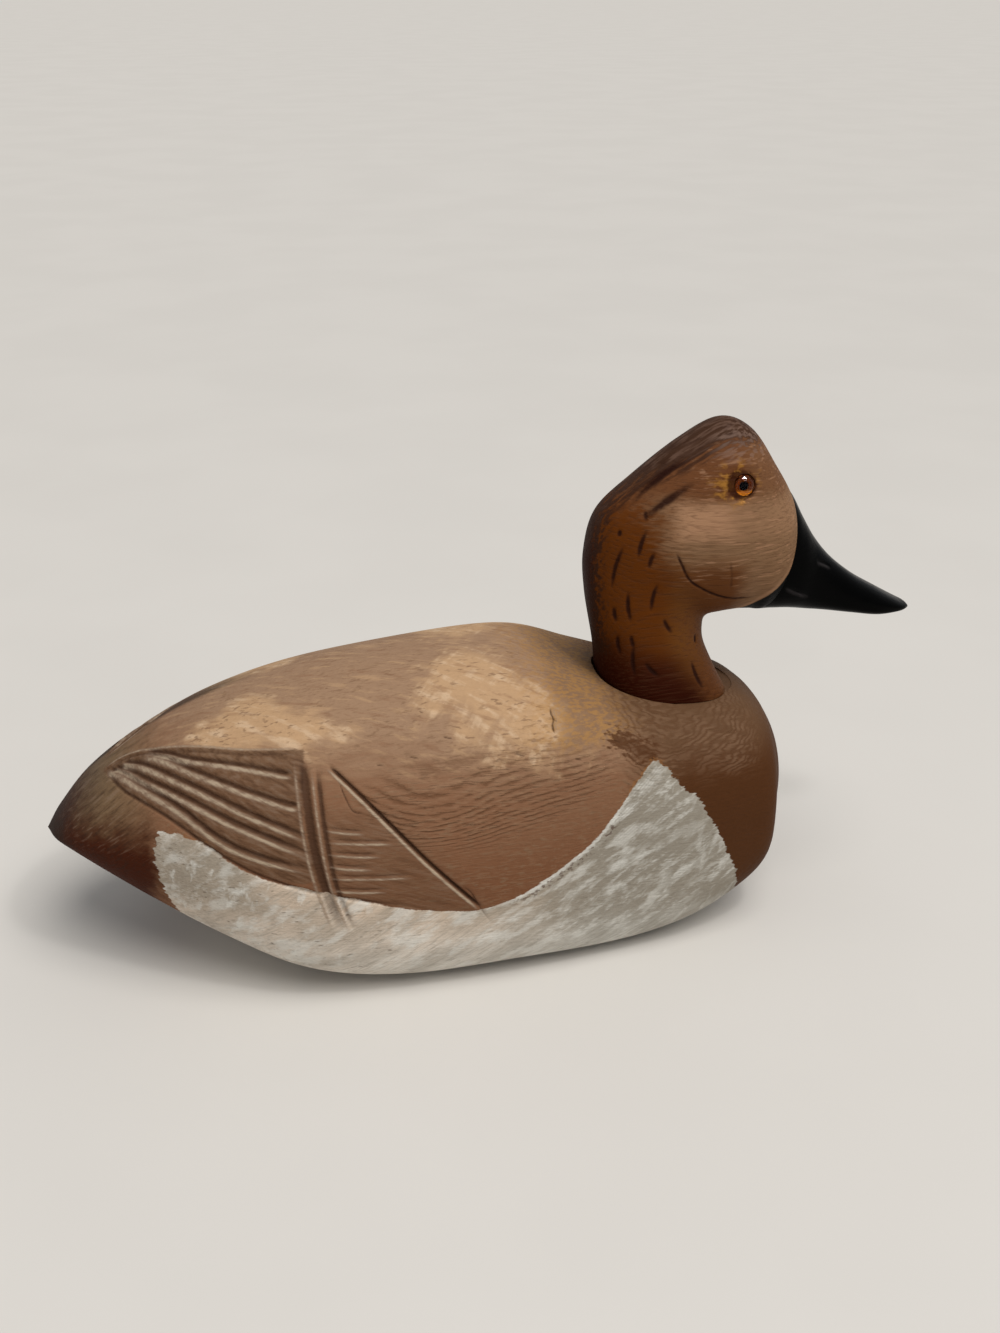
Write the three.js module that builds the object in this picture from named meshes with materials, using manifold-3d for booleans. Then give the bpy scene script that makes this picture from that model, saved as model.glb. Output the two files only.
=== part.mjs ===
// A painted wooden duck carving in the manner of a working decoy.
// The body is one block with a flat underside. The head, neck and bill are a second
// block, seated in a shallow recess on the shoulders. Each side of the head holds a glass eye.
// Millimetres, +Z up, bill towards +X. Lengths run from the tail tip, heights from the underside.
import * as THREE from 'three';
import { mergeVertices } from 'three/addons/utils/BufferGeometryUtils.js';
import Module from 'manifold-3d';

const wasm = await Module();
wasm.setup();

// Driving dimensions
const OVERALL_LENGTH = 403;
const BODY_LENGTH = 342;
const BODY_WIDTH = 157;
const BODY_HEIGHT = 132;
const THROAT_X = 303;
const THROAT_Z = 139.5;
const HEAD_HEIGHT = 93;
const HEAD_WIDTH = 54;
const EYE_RADIUS = 5;
const GAP = 0.3;

// Seat of the neck on the shoulders
const SEAT_X = 286;
const SEAT_Z = 106.5;
const SEAT_SLOPE = THREE.MathUtils.degToRad(3);
const SEAT_LENGTH = 64;
const SEAT_WIDTH = 52;
const SEAT_MARGIN = 1;

// Eyes: middle of each eye on the side of the head, and how far it stands proud
const EYE_X = 311;
const EYE_Z = 208;
const EYE_PROUD = 2.6;

// Carved lines of the folded wing
const GROOVE_RADIUS = 1.3;
const GROOVE_DEPTH = 0.9;
const GROOVE_STEPS = 2;
const WING_AXIS_Z = 60;

// Fineness of the facets
const BODY_SLICES = 36;
const BODY_AROUND = 34;
const HEAD_SLICES = 38;
const HEAD_AROUND = 28;
const BILL_SLICES = 20;
const BILL_AROUND = 18;
const EYE_SLICES = 10;
const EYE_AROUND = 16;

// Stations of the body from tail to breast. Each row holds the place of the back and of the keel
// (share of the length, share of the height), the half width as a share of the widest, where up
// the section it is widest, and how square the section is below and above that.
const BODY_STATIONS = [
  [0.0, 0.43, 0.0, 0.43, 0.0, 0.5, 2.0, 2.0],
  [0.015, 0.48, 0.025, 0.42, 0.23, 0.5, 2.0, 2.0],
  [0.055, 0.6, 0.07, 0.335, 0.43, 0.5, 2.1, 2.0],
  [0.12, 0.725, 0.14, 0.215, 0.62, 0.46, 2.3, 2.0],
  [0.21, 0.845, 0.23, 0.1, 0.84, 0.41, 2.6, 2.0],
  [0.32, 0.935, 0.33, 0.02, 0.99, 0.36, 3.4, 2.0],
  [0.45, 0.99, 0.45, -0.02, 1.0, 0.33, 4.0, 2.1],
  [0.61, 1.0, 0.6, -0.02, 0.96, 0.33, 4.0, 2.6],
  [0.73, 0.88, 0.74, -0.02, 0.86, 0.34, 4.0, 4.2],
  [0.83, 0.82, 0.84, 0.01, 0.785, 0.35, 3.5, 3.5],
  [0.915, 0.807, 0.915, 0.08, 0.7, 0.37, 3.0, 3.1],
  [0.955, 0.755, 0.955, 0.15, 0.625, 0.41, 2.6, 2.7],
  [0.973, 0.7, 0.973, 0.215, 0.44, 0.46, 2.3, 2.2],
  [0.993, 0.59, 0.993, 0.305, 0.23, 0.5, 2.1, 2.0],
  [1.0, 0.44, 1.0, 0.44, 0.0, 0.5, 2.0, 2.0],
];

// Stations of the neck and head, which fan round the throat corner from the neck's foot, up the
// nape, over the crown and down to the root of the bill. The columns are the same, with the nape
// and crown for the back and the throat for the keel, all in shares of the head's height and width.
const HEAD_STATIONS = [
  [-0.19, -0.5, -0.19, -0.5, 0.0, 0.5, 2.0, 2.0],
  [-0.5, -0.4, 0.14, -0.51, 0.92, 0.5, 2.8, 2.8],
  [-0.53, -0.28, 0.125, -0.4, 0.94, 0.5, 2.8, 2.8],
  [-0.55, -0.12, 0.065, -0.28, 0.92, 0.5, 2.6, 2.6],
  [-0.6, 0.15, -0.005, -0.12, 0.85, 0.5, 2.3, 2.3],
  [-0.61, 0.36, -0.015, -0.025, 0.83, 0.5, 2.2, 2.2],
  [-0.555, 0.565, 0.0, 0.02, 0.87, 0.47, 2.2, 2.2],
  [-0.38, 0.73, 0.06, 0.035, 0.95, 0.43, 2.2, 2.2],
  [-0.16, 0.9, 0.1, 0.04, 1.0, 0.4, 2.2, 2.1],
  [0.03, 0.995, 0.15, 0.04, 0.98, 0.4, 2.2, 2.1],
  [0.18, 0.94, 0.205, 0.035, 0.93, 0.42, 2.2, 2.1],
  [0.305, 0.765, 0.26, 0.03, 0.87, 0.45, 2.2, 2.1],
  [0.395, 0.61, 0.315, 0.065, 0.72, 0.48, 2.2, 2.1],
  [0.42, 0.48, 0.37, 0.155, 0.48, 0.5, 2.1, 2.1],
  [0.405, 0.33, 0.405, 0.33, 0.0, 0.5, 2.0, 2.0],
];

// Stations of the bill, from inside the cheeks to the tip, in the same measures as the head
const BILL_STATIONS = [
  [0.12, 0.38, 0.12, 0.38, 0.0, 0.5, 2.0, 2.0],
  [0.2, 0.66, 0.15, 0.08, 0.4, 0.5, 2.0, 2.0],
  [0.3, 0.69, 0.225, 0.025, 0.57, 0.45, 2.3, 2.2],
  [0.39, 0.625, 0.32, 0.025, 0.64, 0.42, 2.4, 2.2],
  [0.465, 0.495, 0.405, 0.025, 0.62, 0.4, 2.5, 2.2],
  [0.54, 0.375, 0.49, 0.015, 0.55, 0.38, 2.6, 2.2],
  [0.635, 0.265, 0.59, 0.005, 0.51, 0.36, 2.8, 2.2],
  [0.765, 0.16, 0.73, -0.015, 0.49, 0.36, 3.0, 2.3],
  [0.905, 0.075, 0.87, -0.035, 0.46, 0.4, 3.0, 2.4],
  [1.01, 0.015, 0.99, -0.035, 0.34, 0.45, 2.6, 2.4],
  [1.06, -0.01, 1.06, -0.032, 0.16, 0.5, 2.2, 2.2],
  [1.075, -0.03, 1.075, -0.03, 0.0, 0.5, 2.0, 2.0],
];

// Lines of the wing as [distance from the tail tip, angle round the body above level] points
const WING_LINES = {
  topEdge: [[28, 78], [38, 78], [60, 63], [85, 52], [115, 47]],
  firstFeather: [[52, 64], [67, 51], [106, 37]],
  secondFeather: [[52, 62], [67, 44], [85, 33], [106, 25]],
  thirdFeather: [[42, 62], [60, 43], [85, 27], [112, 15]],
  fourthFeather: [[35, 64], [51, 42], [80, 23], [112, 10]],
  lowerEdge: [[29, 72], [38, 45], [57, 26], [82, 9], [110, 0], [160, -10]],
  rearStroke: [[111, 43], [112, 21], [115, 4], [121, -11]],
  frontStroke: [[118, 38], [119, 20], [122, 1], [127, -11]],
  slantStroke: [[125, 40], [148, 19], [165, 4], [186, -13]],
};

// Paint seen from afar
const BODY_COLOUR = 0x7a5a42;
const HEAD_COLOUR = 0x7a4f38;
const EYE_COLOUR = 0x2a1506;

// Where the stations start and what their shares are of
const BODY_UNIT = { x0: 0, x: BODY_LENGTH, y: BODY_WIDTH / 2, z0: 0, z: BODY_HEIGHT };
const HEAD_UNIT = { x0: THROAT_X, x: HEAD_HEIGHT, y: HEAD_WIDTH / 2, z0: THROAT_Z, z: HEAD_HEIGHT };

// A row of numbers between the rows of a table, on a smooth curve through them
function rowAt(rows, along) {
  const last = rows.length - 1;
  const index = Math.min(Math.floor(along * last), last - 1);
  const t = along * last - index;
  return rows[0].map((_, column) => {
    const b = rows[index][column];
    const c = rows[index + 1][column];
    const a = index > 0 ? rows[index - 1][column] : 2 * b - c;
    const d = index < last - 1 ? rows[index + 2][column] : 2 * c - b;
    const cubic = 1.5 * (b - c) + 0.5 * (d - a);
    const square = a - 2.5 * b + 2 * c - 0.5 * d;
    return b + t * (0.5 * (c - a) + t * (square + t * cubic));
  });
}

// A point of one station's section, at an angle above level as seen from the section's middle
function sectionPoint(row, angle, unit) {
  const [backX, backZ, keelX, keelZ, halfWidth, widest, squareBelow, squareAbove] = row;
  const square = angle < 0 ? squareBelow : squareAbove;
  const side = Math.cos(angle);
  const rise = Math.sin(angle);
  const reach = (Math.abs(side) ** square + Math.abs(rise) ** square) ** (-1 / square);
  const room = angle < 0 ? widest : 1 - widest;
  const up = widest + reach * rise * room;
  return new THREE.Vector3(
    unit.x0 + unit.x * (keelX + up * (backX - keelX)),
    unit.y * Math.max(halfWidth, 0) * reach * side,
    unit.z0 + unit.z * (keelZ + up * (backZ - keelZ)),
  );
}

// A closed skin over the stations, made by moving the points of a globe
function loft(rows, unit, slices, around) {
  const geometry = new THREE.SphereGeometry(1, around, slices);
  const { position, uv } = geometry.attributes;
  for (let i = 0; i < position.count; i += 1) {
    const row = rowAt(rows, THREE.MathUtils.clamp(1 - uv.getY(i), 0, 1));
    const turn = 1 - 2 * (uv.getX(i) % 1);
    const point = sectionPoint(row, turn * Math.PI, unit);
    position.setXYZ(i, point.x, point.y, point.z);
  }
  return geometry;
}

// Solids for joining and cutting, and back again
function toSolid(geometry) {
  const bare = geometry.clone();
  bare.deleteAttribute('normal');
  bare.deleteAttribute('uv');
  const merged = mergeVertices(bare, 1e-4);
  return new wasm.Manifold(new wasm.Mesh({
    numProp: 3,
    vertProperties: new Float32Array(merged.attributes.position.array),
    triVerts: new Uint32Array(merged.index.array),
  }));
}

function toGeometry(solid) {
  const mesh = solid.getMesh();
  const geometry = new THREE.BufferGeometry();
  geometry.setAttribute('position', new THREE.BufferAttribute(mesh.vertProperties, 3));
  geometry.setIndex(new THREE.BufferAttribute(mesh.triVerts, 1));
  geometry.computeVertexNormals();
  return geometry;
}

function paint(colour, roughness) {
  return new THREE.MeshStandardMaterial({ color: colour, roughness, metalness: 0 });
}

// First point that a ray meets on a skin, from inside or outside
function hit(geometry, origin, direction) {
  const skin = new THREE.Mesh(geometry, new THREE.MeshBasicMaterial({ side: THREE.DoubleSide }));
  return new THREE.Raycaster(origin, direction.clone().normalize()).intersectObject(skin)[0];
}

// Turns a shape that is modelled on level ground onto the seat's plane
function onSeat(geometry, lift) {
  geometry.rotateY(SEAT_SLOPE);
  geometry.translate(SEAT_X, 0, SEAT_Z + lift);
  return geometry;
}

// Everything below the seat's plane
function seatSaw(lift) {
  const block = new THREE.BoxGeometry(3 * HEAD_HEIGHT, 3 * HEAD_WIDTH, HEAD_HEIGHT);
  block.translate(0, 0, -HEAD_HEIGHT / 2);
  return onSeat(block, lift);
}

// One gouge cut along a wing line, fading out at both ends
function gouge(skin, line, sideways) {
  const points = [];
  const count = GROOVE_STEPS * (line.length - 1);
  for (let i = 0; i <= count; i += 1) {
    const [x, degrees] = rowAt(line, i / count);
    const angle = THREE.MathUtils.degToRad(degrees);
    const outward = new THREE.Vector3(0, sideways * Math.cos(angle), Math.sin(angle));
    const foot = hit(skin, new THREE.Vector3(x, 0, WING_AXIS_Z), outward).point;
    const fade = i === 0 || i === count ? 0 : 1;
    points.push(foot.addScaledVector(outward, GROOVE_RADIUS - GROOVE_DEPTH * fade));
  }
  const tool = new THREE.Shape().absarc(0, 0, GROOVE_RADIUS, 0, 2 * Math.PI);
  return new THREE.ExtrudeGeometry(tool, {
    steps: count,
    curveSegments: 2,
    extrudePath: new THREE.CatmullRomCurve3(points),
  });
}

// What the recess takes out of the shoulders: a flat oval with the neck's own outline above it
function makeRecess() {
  const oval = new THREE.Shape().absellipse(0, 0, SEAT_LENGTH / 2, SEAT_WIDTH / 2, 0, 2 * Math.PI);
  const plug = new THREE.ExtrudeGeometry(oval, {
    depth: BODY_HEIGHT / 3,
    bevelEnabled: false,
    curveSegments: 16,
  });
  const ease = 1 + (2 * SEAT_MARGIN) / SEAT_WIDTH;
  const unit = { ...HEAD_UNIT, x: HEAD_UNIT.x * ease, y: HEAD_UNIT.y * ease };
  unit.x0 = SEAT_X + (HEAD_UNIT.x0 - SEAT_X) * ease;
  const neck = loft(HEAD_STATIONS, unit, HEAD_SLICES, HEAD_AROUND);
  return toSolid(neck).subtract(toSolid(seatSaw(0))).add(toSolid(onSeat(plug, 0)));
}

// Body block: lofted, sawn flat below, recessed for the neck and gouged with the wing lines
function makeBody() {
  const skin = loft(BODY_STATIONS, BODY_UNIT, BODY_SLICES, BODY_AROUND);
  const saw = new THREE.BoxGeometry(2 * BODY_LENGTH, 2 * BODY_WIDTH, BODY_HEIGHT);
  saw.translate(BODY_LENGTH / 2, 0, -BODY_HEIGHT / 2);
  let block = toSolid(skin).subtract(toSolid(saw)).subtract(makeRecess());
  for (const line of Object.values(WING_LINES)) {
    for (const sideways of [-1, 1]) {
      block = block.subtract(toSolid(gouge(skin, line, sideways)));
    }
  }
  return toGeometry(block);
}

// Where an eye's middle lies, set back under the side of the head
function eyeCentre(skin, sideways) {
  const outward = new THREE.Vector3(0, sideways, 0);
  const surface = hit(skin, new THREE.Vector3(EYE_X, 0, EYE_Z), outward);
  const normal = surface.face.normal.clone();
  return surface.point.addScaledVector(normal, EYE_PROUD - EYE_RADIUS);
}

// Head block: neck, head and bill in one, sawn to the seat's plane and drilled for the eyes
function makeHead(skin, eyeCentres) {
  const bill = loft(BILL_STATIONS, HEAD_UNIT, BILL_SLICES, BILL_AROUND);
  let block = toSolid(skin).add(toSolid(bill)).subtract(toSolid(seatSaw(GAP)));
  for (const centre of eyeCentres) {
    const drill = new THREE.SphereGeometry(EYE_RADIUS + GAP, EYE_AROUND, EYE_SLICES);
    drill.translate(centre.x, centre.y, centre.z);
    block = block.subtract(toSolid(drill));
  }
  return toGeometry(block);
}

function addPiece(group, name, geometry, material) {
  const piece = new THREE.Mesh(geometry, material);
  piece.name = name;
  group.add(piece);
  return piece;
}

const duck = new THREE.Group();
duck.position.x = -OVERALL_LENGTH / 2;

addPiece(duck, 'body', makeBody(), paint(BODY_COLOUR, 0.6));

const headSkin = loft(HEAD_STATIONS, HEAD_UNIT, HEAD_SLICES, HEAD_AROUND);
const eyeCentres = [-1, 1].map((sideways) => eyeCentre(headSkin, sideways));
addPiece(duck, 'head', makeHead(headSkin, eyeCentres), paint(HEAD_COLOUR, 0.5));

['eye_right', 'eye_left'].forEach((name, i) => {
  const ball = new THREE.SphereGeometry(EYE_RADIUS, EYE_AROUND, EYE_SLICES);
  addPiece(duck, name, ball, paint(EYE_COLOUR, 0.05)).position.copy(eyeCentres[i]);
});

export default duck;
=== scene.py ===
# %% [markdown]
# # A painted duck decoy
# The object is a wooden duck in two blocks: a body with a flat underside, and a head and bill
# seated in a shallow recess on the shoulders, with a glass eye on each side. The blocks are
# fixed already, as plain facets. Here each one is carved again in fine mesh, with the cuts of
# the folded wing, the dashes of the neck and the raised grain, and then painted.
# All carving is worked out in the carver's own measures: millimetres, lengths from the tail
# tip and heights from the underside. Only a finished piece is turned into metres in the frame.

# %% Load the fixed blocks
import math
from functools import cached_property

import bmesh
import bpy
import numpy as np
from mathutils import Matrix, Vector, noise
from mathutils.bvhtree import BVHTree


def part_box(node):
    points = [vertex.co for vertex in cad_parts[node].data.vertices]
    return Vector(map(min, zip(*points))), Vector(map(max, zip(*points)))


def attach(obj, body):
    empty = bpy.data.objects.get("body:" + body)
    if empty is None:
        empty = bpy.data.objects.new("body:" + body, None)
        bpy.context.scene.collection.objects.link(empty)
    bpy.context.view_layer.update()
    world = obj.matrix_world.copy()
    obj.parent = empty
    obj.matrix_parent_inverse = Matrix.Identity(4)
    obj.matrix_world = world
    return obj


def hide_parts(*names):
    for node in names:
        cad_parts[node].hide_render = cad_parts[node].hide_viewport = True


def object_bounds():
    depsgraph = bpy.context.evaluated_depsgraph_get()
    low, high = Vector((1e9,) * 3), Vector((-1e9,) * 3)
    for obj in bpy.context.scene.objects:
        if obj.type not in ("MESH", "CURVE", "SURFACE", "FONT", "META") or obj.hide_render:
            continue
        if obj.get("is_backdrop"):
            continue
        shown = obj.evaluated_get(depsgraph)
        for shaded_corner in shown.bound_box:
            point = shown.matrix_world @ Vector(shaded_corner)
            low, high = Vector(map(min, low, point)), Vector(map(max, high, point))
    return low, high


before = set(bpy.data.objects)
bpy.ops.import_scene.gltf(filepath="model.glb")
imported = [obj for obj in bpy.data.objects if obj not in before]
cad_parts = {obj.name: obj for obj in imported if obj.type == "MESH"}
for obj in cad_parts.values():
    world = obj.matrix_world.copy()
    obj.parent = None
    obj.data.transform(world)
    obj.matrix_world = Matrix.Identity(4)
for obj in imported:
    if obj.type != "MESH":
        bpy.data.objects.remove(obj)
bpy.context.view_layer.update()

MM = 0.001
TAIL_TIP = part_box("body")[0].x / MM

# %% [markdown]
# ## Camera
# The camera looks down on the bird's right side from a little behind its middle. Its place is
# worked out from a distance, a height angle and a turn, which read better than three bare
# coordinates. The lens comes from a focal length in pixels on a frame 1333 pixels high.

# %% Place the camera
CAMERA_TARGET = Vector((0.0065, 0.0, 0.120))
CAMERA_DISTANCE = 0.687
CAMERA_RISE = math.radians(25)
CAMERA_TURN = math.radians(10)
FOCAL_PIXELS = 1503
FRAME_PIXELS = 1333

camera_data = bpy.data.cameras.new("camera")
camera_data.sensor_width = 36
camera_data.lens = camera_data.sensor_width * FOCAL_PIXELS / FRAME_PIXELS
camera = bpy.data.objects.new("camera", camera_data)
level = CAMERA_DISTANCE * math.cos(CAMERA_RISE)
offset = Vector((
    -level * math.sin(CAMERA_TURN),
    -level * math.cos(CAMERA_TURN),
    CAMERA_DISTANCE * math.sin(CAMERA_RISE),
))
camera.location = CAMERA_TARGET + offset
camera.rotation_euler = (-offset).to_track_quat("-Z", "Y").to_euler()
bpy.context.scene.collection.objects.link(camera)
bpy.context.scene.camera = camera
print("lens in mm:", round(camera_data.lens, 2))

# %% [markdown]
# ## Soft studio light
# One broad soft light stands high over the bird's right front, and a pale sky fills the rest.
# A sun lamp with a very wide disc does this: its shadow is as soft as that of a large panel,
# and it lights the floor evenly right out to the horizon, which a panel nearby can't do.
# A small panel adds the sheen on the bill. Glass eyes come alive by one bright reflection of a
# window, so a second panel high above is seen by the glass balls alone and makes their glint.

# %% Set the lights
SUN_DISC = math.radians(46)
SUN_STRENGTH = 2.0
SUN_COLOUR = (1.0, 0.975, 0.94)
BODY_MIDDLE = (0.0, 0.0, 0.12)
FACE_MIDDLE = (0.115, 0.0, 0.2)
SKY_COLOUR = (0.95, 0.97, 1.0, 1.0)
SKY_STRENGTH = 0.4


def aim(lamp_data, place, target=BODY_MIDDLE):
    """Hangs a light at a place in metres, turned towards a target."""
    lamp = bpy.data.objects.new(lamp_data.name, lamp_data)
    lamp.location = place
    lamp.rotation_euler = (Vector(target) - Vector(place)).to_track_quat("-Z", "Y").to_euler()
    bpy.context.scene.collection.objects.link(lamp)
    return lamp


def hang_panel(name, size, watts, place, target=BODY_MIDDLE):
    """A rectangular light of a size in metres."""
    lamp_data = bpy.data.lights.new(name, "AREA")
    lamp_data.shape = "RECTANGLE"
    lamp_data.size, lamp_data.size_y = size
    lamp_data.energy = watts
    return aim(lamp_data, place, target)


soft = bpy.data.lights.new("soft_light", "SUN")
soft.energy = SUN_STRENGTH
soft.angle = SUN_DISC
soft.color = SUN_COLOUR
aim(soft, place=(0.28, -0.42, 1.2))
hang_panel("glint_panel", size=(0.11, 0.08), watts=1.3, place=(0.25, -0.45, 0.95))
eye_window = hang_panel(
    "eye_window", size=(0.6, 0.45), watts=130.0, place=(0.2, -0.08, 1.05), target=FACE_MIDDLE
)
eye_window.visible_diffuse = False
eye_window.visible_transmission = False

world = bpy.data.worlds.new("sky")
world.use_nodes = True
sky = world.node_tree.nodes["Background"].inputs
sky["Color"].default_value = SKY_COLOUR
sky["Strength"].default_value = SKY_STRENGTH
bpy.context.scene.world = world
bpy.context.scene.view_settings.view_transform = "Standard"
print("lights:", [light.name for light in bpy.data.lights])

# %% [markdown]
# ## Stations
# A hull is drawn by its stations, and so is this duck. Each row holds where the back and the
# keel stand at that station, the half width, how far up it is widest, and how square it is
# below and above. A smooth curve through the rows gives every section between them, which
# keeps a carved form fair with very few numbers.

# %% Stations of the body, tail to breast
BODY_SIZE = (342, 78.5, 132)
BODY_START = (0, 0, 0)
BODY_STATIONS = [
    [0.0, 0.43, 0.0, 0.43, 0.0, 0.5, 2.0, 2.0],
    [0.015, 0.48, 0.025, 0.42, 0.23, 0.5, 2.0, 2.0],
    [0.055, 0.6, 0.07, 0.335, 0.43, 0.5, 2.1, 2.0],
    [0.12, 0.725, 0.14, 0.215, 0.62, 0.46, 2.3, 2.0],
    [0.21, 0.845, 0.23, 0.1, 0.84, 0.41, 2.6, 2.0],
    [0.32, 0.935, 0.33, 0.02, 0.99, 0.36, 3.4, 2.0],
    [0.45, 0.99, 0.45, -0.02, 1.0, 0.33, 4.0, 2.1],
    [0.61, 1.0, 0.6, -0.02, 0.96, 0.33, 4.0, 2.6],
    [0.73, 0.88, 0.74, -0.02, 0.86, 0.34, 4.0, 4.2],
    [0.83, 0.82, 0.84, 0.01, 0.785, 0.35, 3.5, 3.5],
    [0.915, 0.807, 0.915, 0.08, 0.7, 0.37, 3.0, 3.1],
    [0.955, 0.755, 0.955, 0.15, 0.625, 0.41, 2.6, 2.7],
    [0.973, 0.7, 0.973, 0.215, 0.44, 0.46, 2.3, 2.2],
    [0.993, 0.59, 0.993, 0.305, 0.23, 0.5, 2.1, 2.0],
    [1.0, 0.44, 1.0, 0.44, 0.0, 0.5, 2.0, 2.0],
]

# %% Stations of the head, fanned round the throat from neck foot to bill root
HEAD_SIZE = (93, 27, 93)
HEAD_START = (303, 0, 139.5)
HEAD_STATIONS = [
    [-0.19, -0.5, -0.19, -0.5, 0.0, 0.5, 2.0, 2.0],
    [-0.5, -0.4, 0.14, -0.51, 0.92, 0.5, 2.8, 2.8],
    [-0.53, -0.28, 0.125, -0.4, 0.94, 0.5, 2.8, 2.8],
    [-0.55, -0.12, 0.065, -0.28, 0.92, 0.5, 2.6, 2.6],
    [-0.6, 0.15, -0.005, -0.12, 0.85, 0.5, 2.3, 2.3],
    [-0.61, 0.36, -0.015, -0.025, 0.83, 0.5, 2.2, 2.2],
    [-0.555, 0.565, 0.0, 0.02, 0.87, 0.47, 2.2, 2.2],
    [-0.38, 0.73, 0.06, 0.035, 0.95, 0.43, 2.2, 2.2],
    [-0.16, 0.9, 0.1, 0.04, 1.0, 0.4, 2.2, 2.1],
    [0.03, 0.995, 0.15, 0.04, 0.98, 0.4, 2.2, 2.1],
    [0.18, 0.94, 0.205, 0.035, 0.93, 0.42, 2.2, 2.1],
    [0.305, 0.765, 0.26, 0.03, 0.87, 0.45, 2.2, 2.1],
    [0.395, 0.61, 0.315, 0.065, 0.72, 0.48, 2.2, 2.1],
    [0.42, 0.48, 0.37, 0.155, 0.48, 0.5, 2.1, 2.1],
    [0.405, 0.33, 0.405, 0.33, 0.0, 0.5, 2.0, 2.0],
]

# %% Stations of the bill, cheeks to tip, in the head's measures
BILL_STATIONS = [
    [0.12, 0.38, 0.12, 0.38, 0.0, 0.5, 2.0, 2.0],
    [0.2, 0.66, 0.15, 0.08, 0.4, 0.5, 2.0, 2.0],
    [0.3, 0.69, 0.225, 0.025, 0.57, 0.45, 2.3, 2.2],
    [0.39, 0.625, 0.32, 0.025, 0.64, 0.42, 2.4, 2.2],
    [0.465, 0.495, 0.405, 0.025, 0.62, 0.4, 2.5, 2.2],
    [0.54, 0.375, 0.49, 0.015, 0.55, 0.38, 2.6, 2.2],
    [0.635, 0.265, 0.59, 0.005, 0.51, 0.36, 2.8, 2.2],
    [0.765, 0.16, 0.73, -0.015, 0.49, 0.36, 3.0, 2.3],
    [0.905, 0.075, 0.87, -0.035, 0.46, 0.4, 3.0, 2.4],
    [1.01, 0.015, 0.99, -0.035, 0.34, 0.45, 2.6, 2.4],
    [1.06, -0.01, 1.06, -0.032, 0.16, 0.5, 2.2, 2.2],
    [1.075, -0.03, 1.075, -0.03, 0.0, 0.5, 2.0, 2.0],
]


# %% Read a table between its rows
def rows_at(rows, along):
    """Rows at shares 0 to 1 along a table, on smooth curves through its rows."""
    table = np.array(rows, float)
    last = len(table) - 1
    ends = np.vstack([2 * table[0] - table[1], table, 2 * table[-1] - table[-2]])
    index = np.clip((along * last).astype(int), 0, last - 1)
    share = (along * last - index)[:, None]
    before, start, end, after = (ends[index + step] for step in range(4))
    cubic = 1.5 * (start - end) + 0.5 * (after - before)
    square = before - 2.5 * start + 2 * end - 0.5 * after
    return start + share * (0.5 * (end - before) + share * (square + share * cubic))


# %% Points of a section
def skin_points(rows, start, size, along, angle):
    """Points in mm on a skin: shares along its stations and angles above level."""
    back_x, back_z, keel_x, keel_z, half, widest, below, above = rows_at(rows, along).T
    side, rise = np.cos(angle), np.sin(angle)
    square = np.where(rise < 0, below, above)
    reach = (np.abs(side) ** square + np.abs(rise) ** square) ** (-1 / square)
    up = widest + reach * rise * np.where(rise < 0, widest, 1 - widest)
    return np.column_stack([
        start[0] + size[0] * (keel_x + up * (back_x - keel_x)),
        size[1] * np.maximum(half, 0) * reach * side,
        start[2] + size[2] * (keel_z + up * (back_z - keel_z)),
    ])


# %% [markdown]
# ## From a ruled sheet to a skin
# Each skin starts as a flat grid, like squared paper, that is wrapped round the stations with
# its seam under the keel. Evenly ruled paper would bunch up at the breast, so the marks are
# evened out first by measuring the travel along and round the form. The squares near a cut
# are split while the sheet is still flat, which is cheaper than a fine mesh all over.

# %% Even marks along and round a form
KEEL = -math.pi / 2
MARKS = 600


def even_marks(rows, start, size):
    """Shares along and angles round, each evenly spaced by distance on the skin."""
    steps = np.linspace(0, 1, MARKS)
    travel = np.zeros(MARKS - 1)
    for angle in (KEEL, 0, -KEEL):
        points = skin_points(rows, start, size, steps, np.full(MARKS, angle))
        travel += np.linalg.norm(np.diff(points, axis=0), axis=1)
    angles = KEEL + 2 * math.pi * steps
    ring = skin_points(rows, start, size, np.full(MARKS, 0.5), angles)
    round_it = np.linalg.norm(np.diff(ring, axis=0), axis=1)
    along_mark = np.concatenate([[0], np.cumsum(travel)]) / travel.sum()
    round_mark = np.concatenate([[0], np.cumsum(round_it)]) / round_it.sum()
    return steps, along_mark, angles, round_mark


# %% Rule, wrap, split and close a sheet
SEAM_GAP = 0.002


def points_of(bm):
    """Every vertex of a bmesh as an array."""
    return np.array([vert.co for vert in bm.verts])


def move_to(bm, points):
    """Puts every vertex of a bmesh at its row of an array."""
    for vert, point in zip(bm.verts, points):
        vert.co = point


def ruled_sheet(slices, around):
    """A flat sheet of squares, one unit each way."""
    bm = bmesh.new()
    middle = Matrix.Translation((0.5, 0.5, 0))
    bmesh.ops.create_grid(bm, x_segments=slices, y_segments=around, size=0.5, matrix=middle)
    return bm


def wrapped(sheet, rows, start, size, marks):
    """Where each point of a sheet lands on the skin."""
    steps, along_mark, angles, round_mark = marks
    flat = points_of(sheet)
    along = np.interp(flat[:, 0], along_mark, steps)
    angle = np.interp(flat[:, 1], round_mark, angles)
    return skin_points(rows, start, size, along, angle)


def split_where(sheet, wanted):
    """Halves the squares of a sheet wherever all their corners are wanted finer."""
    for vert, want in zip(sheet.verts, wanted):
        vert.tag = bool(want)
    edges = [edge for edge in sheet.edges if edge.verts[0].tag and edge.verts[1].tag]
    bmesh.ops.subdivide_edges(sheet, edges=edges, cuts=1, use_grid_fill=True)


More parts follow.
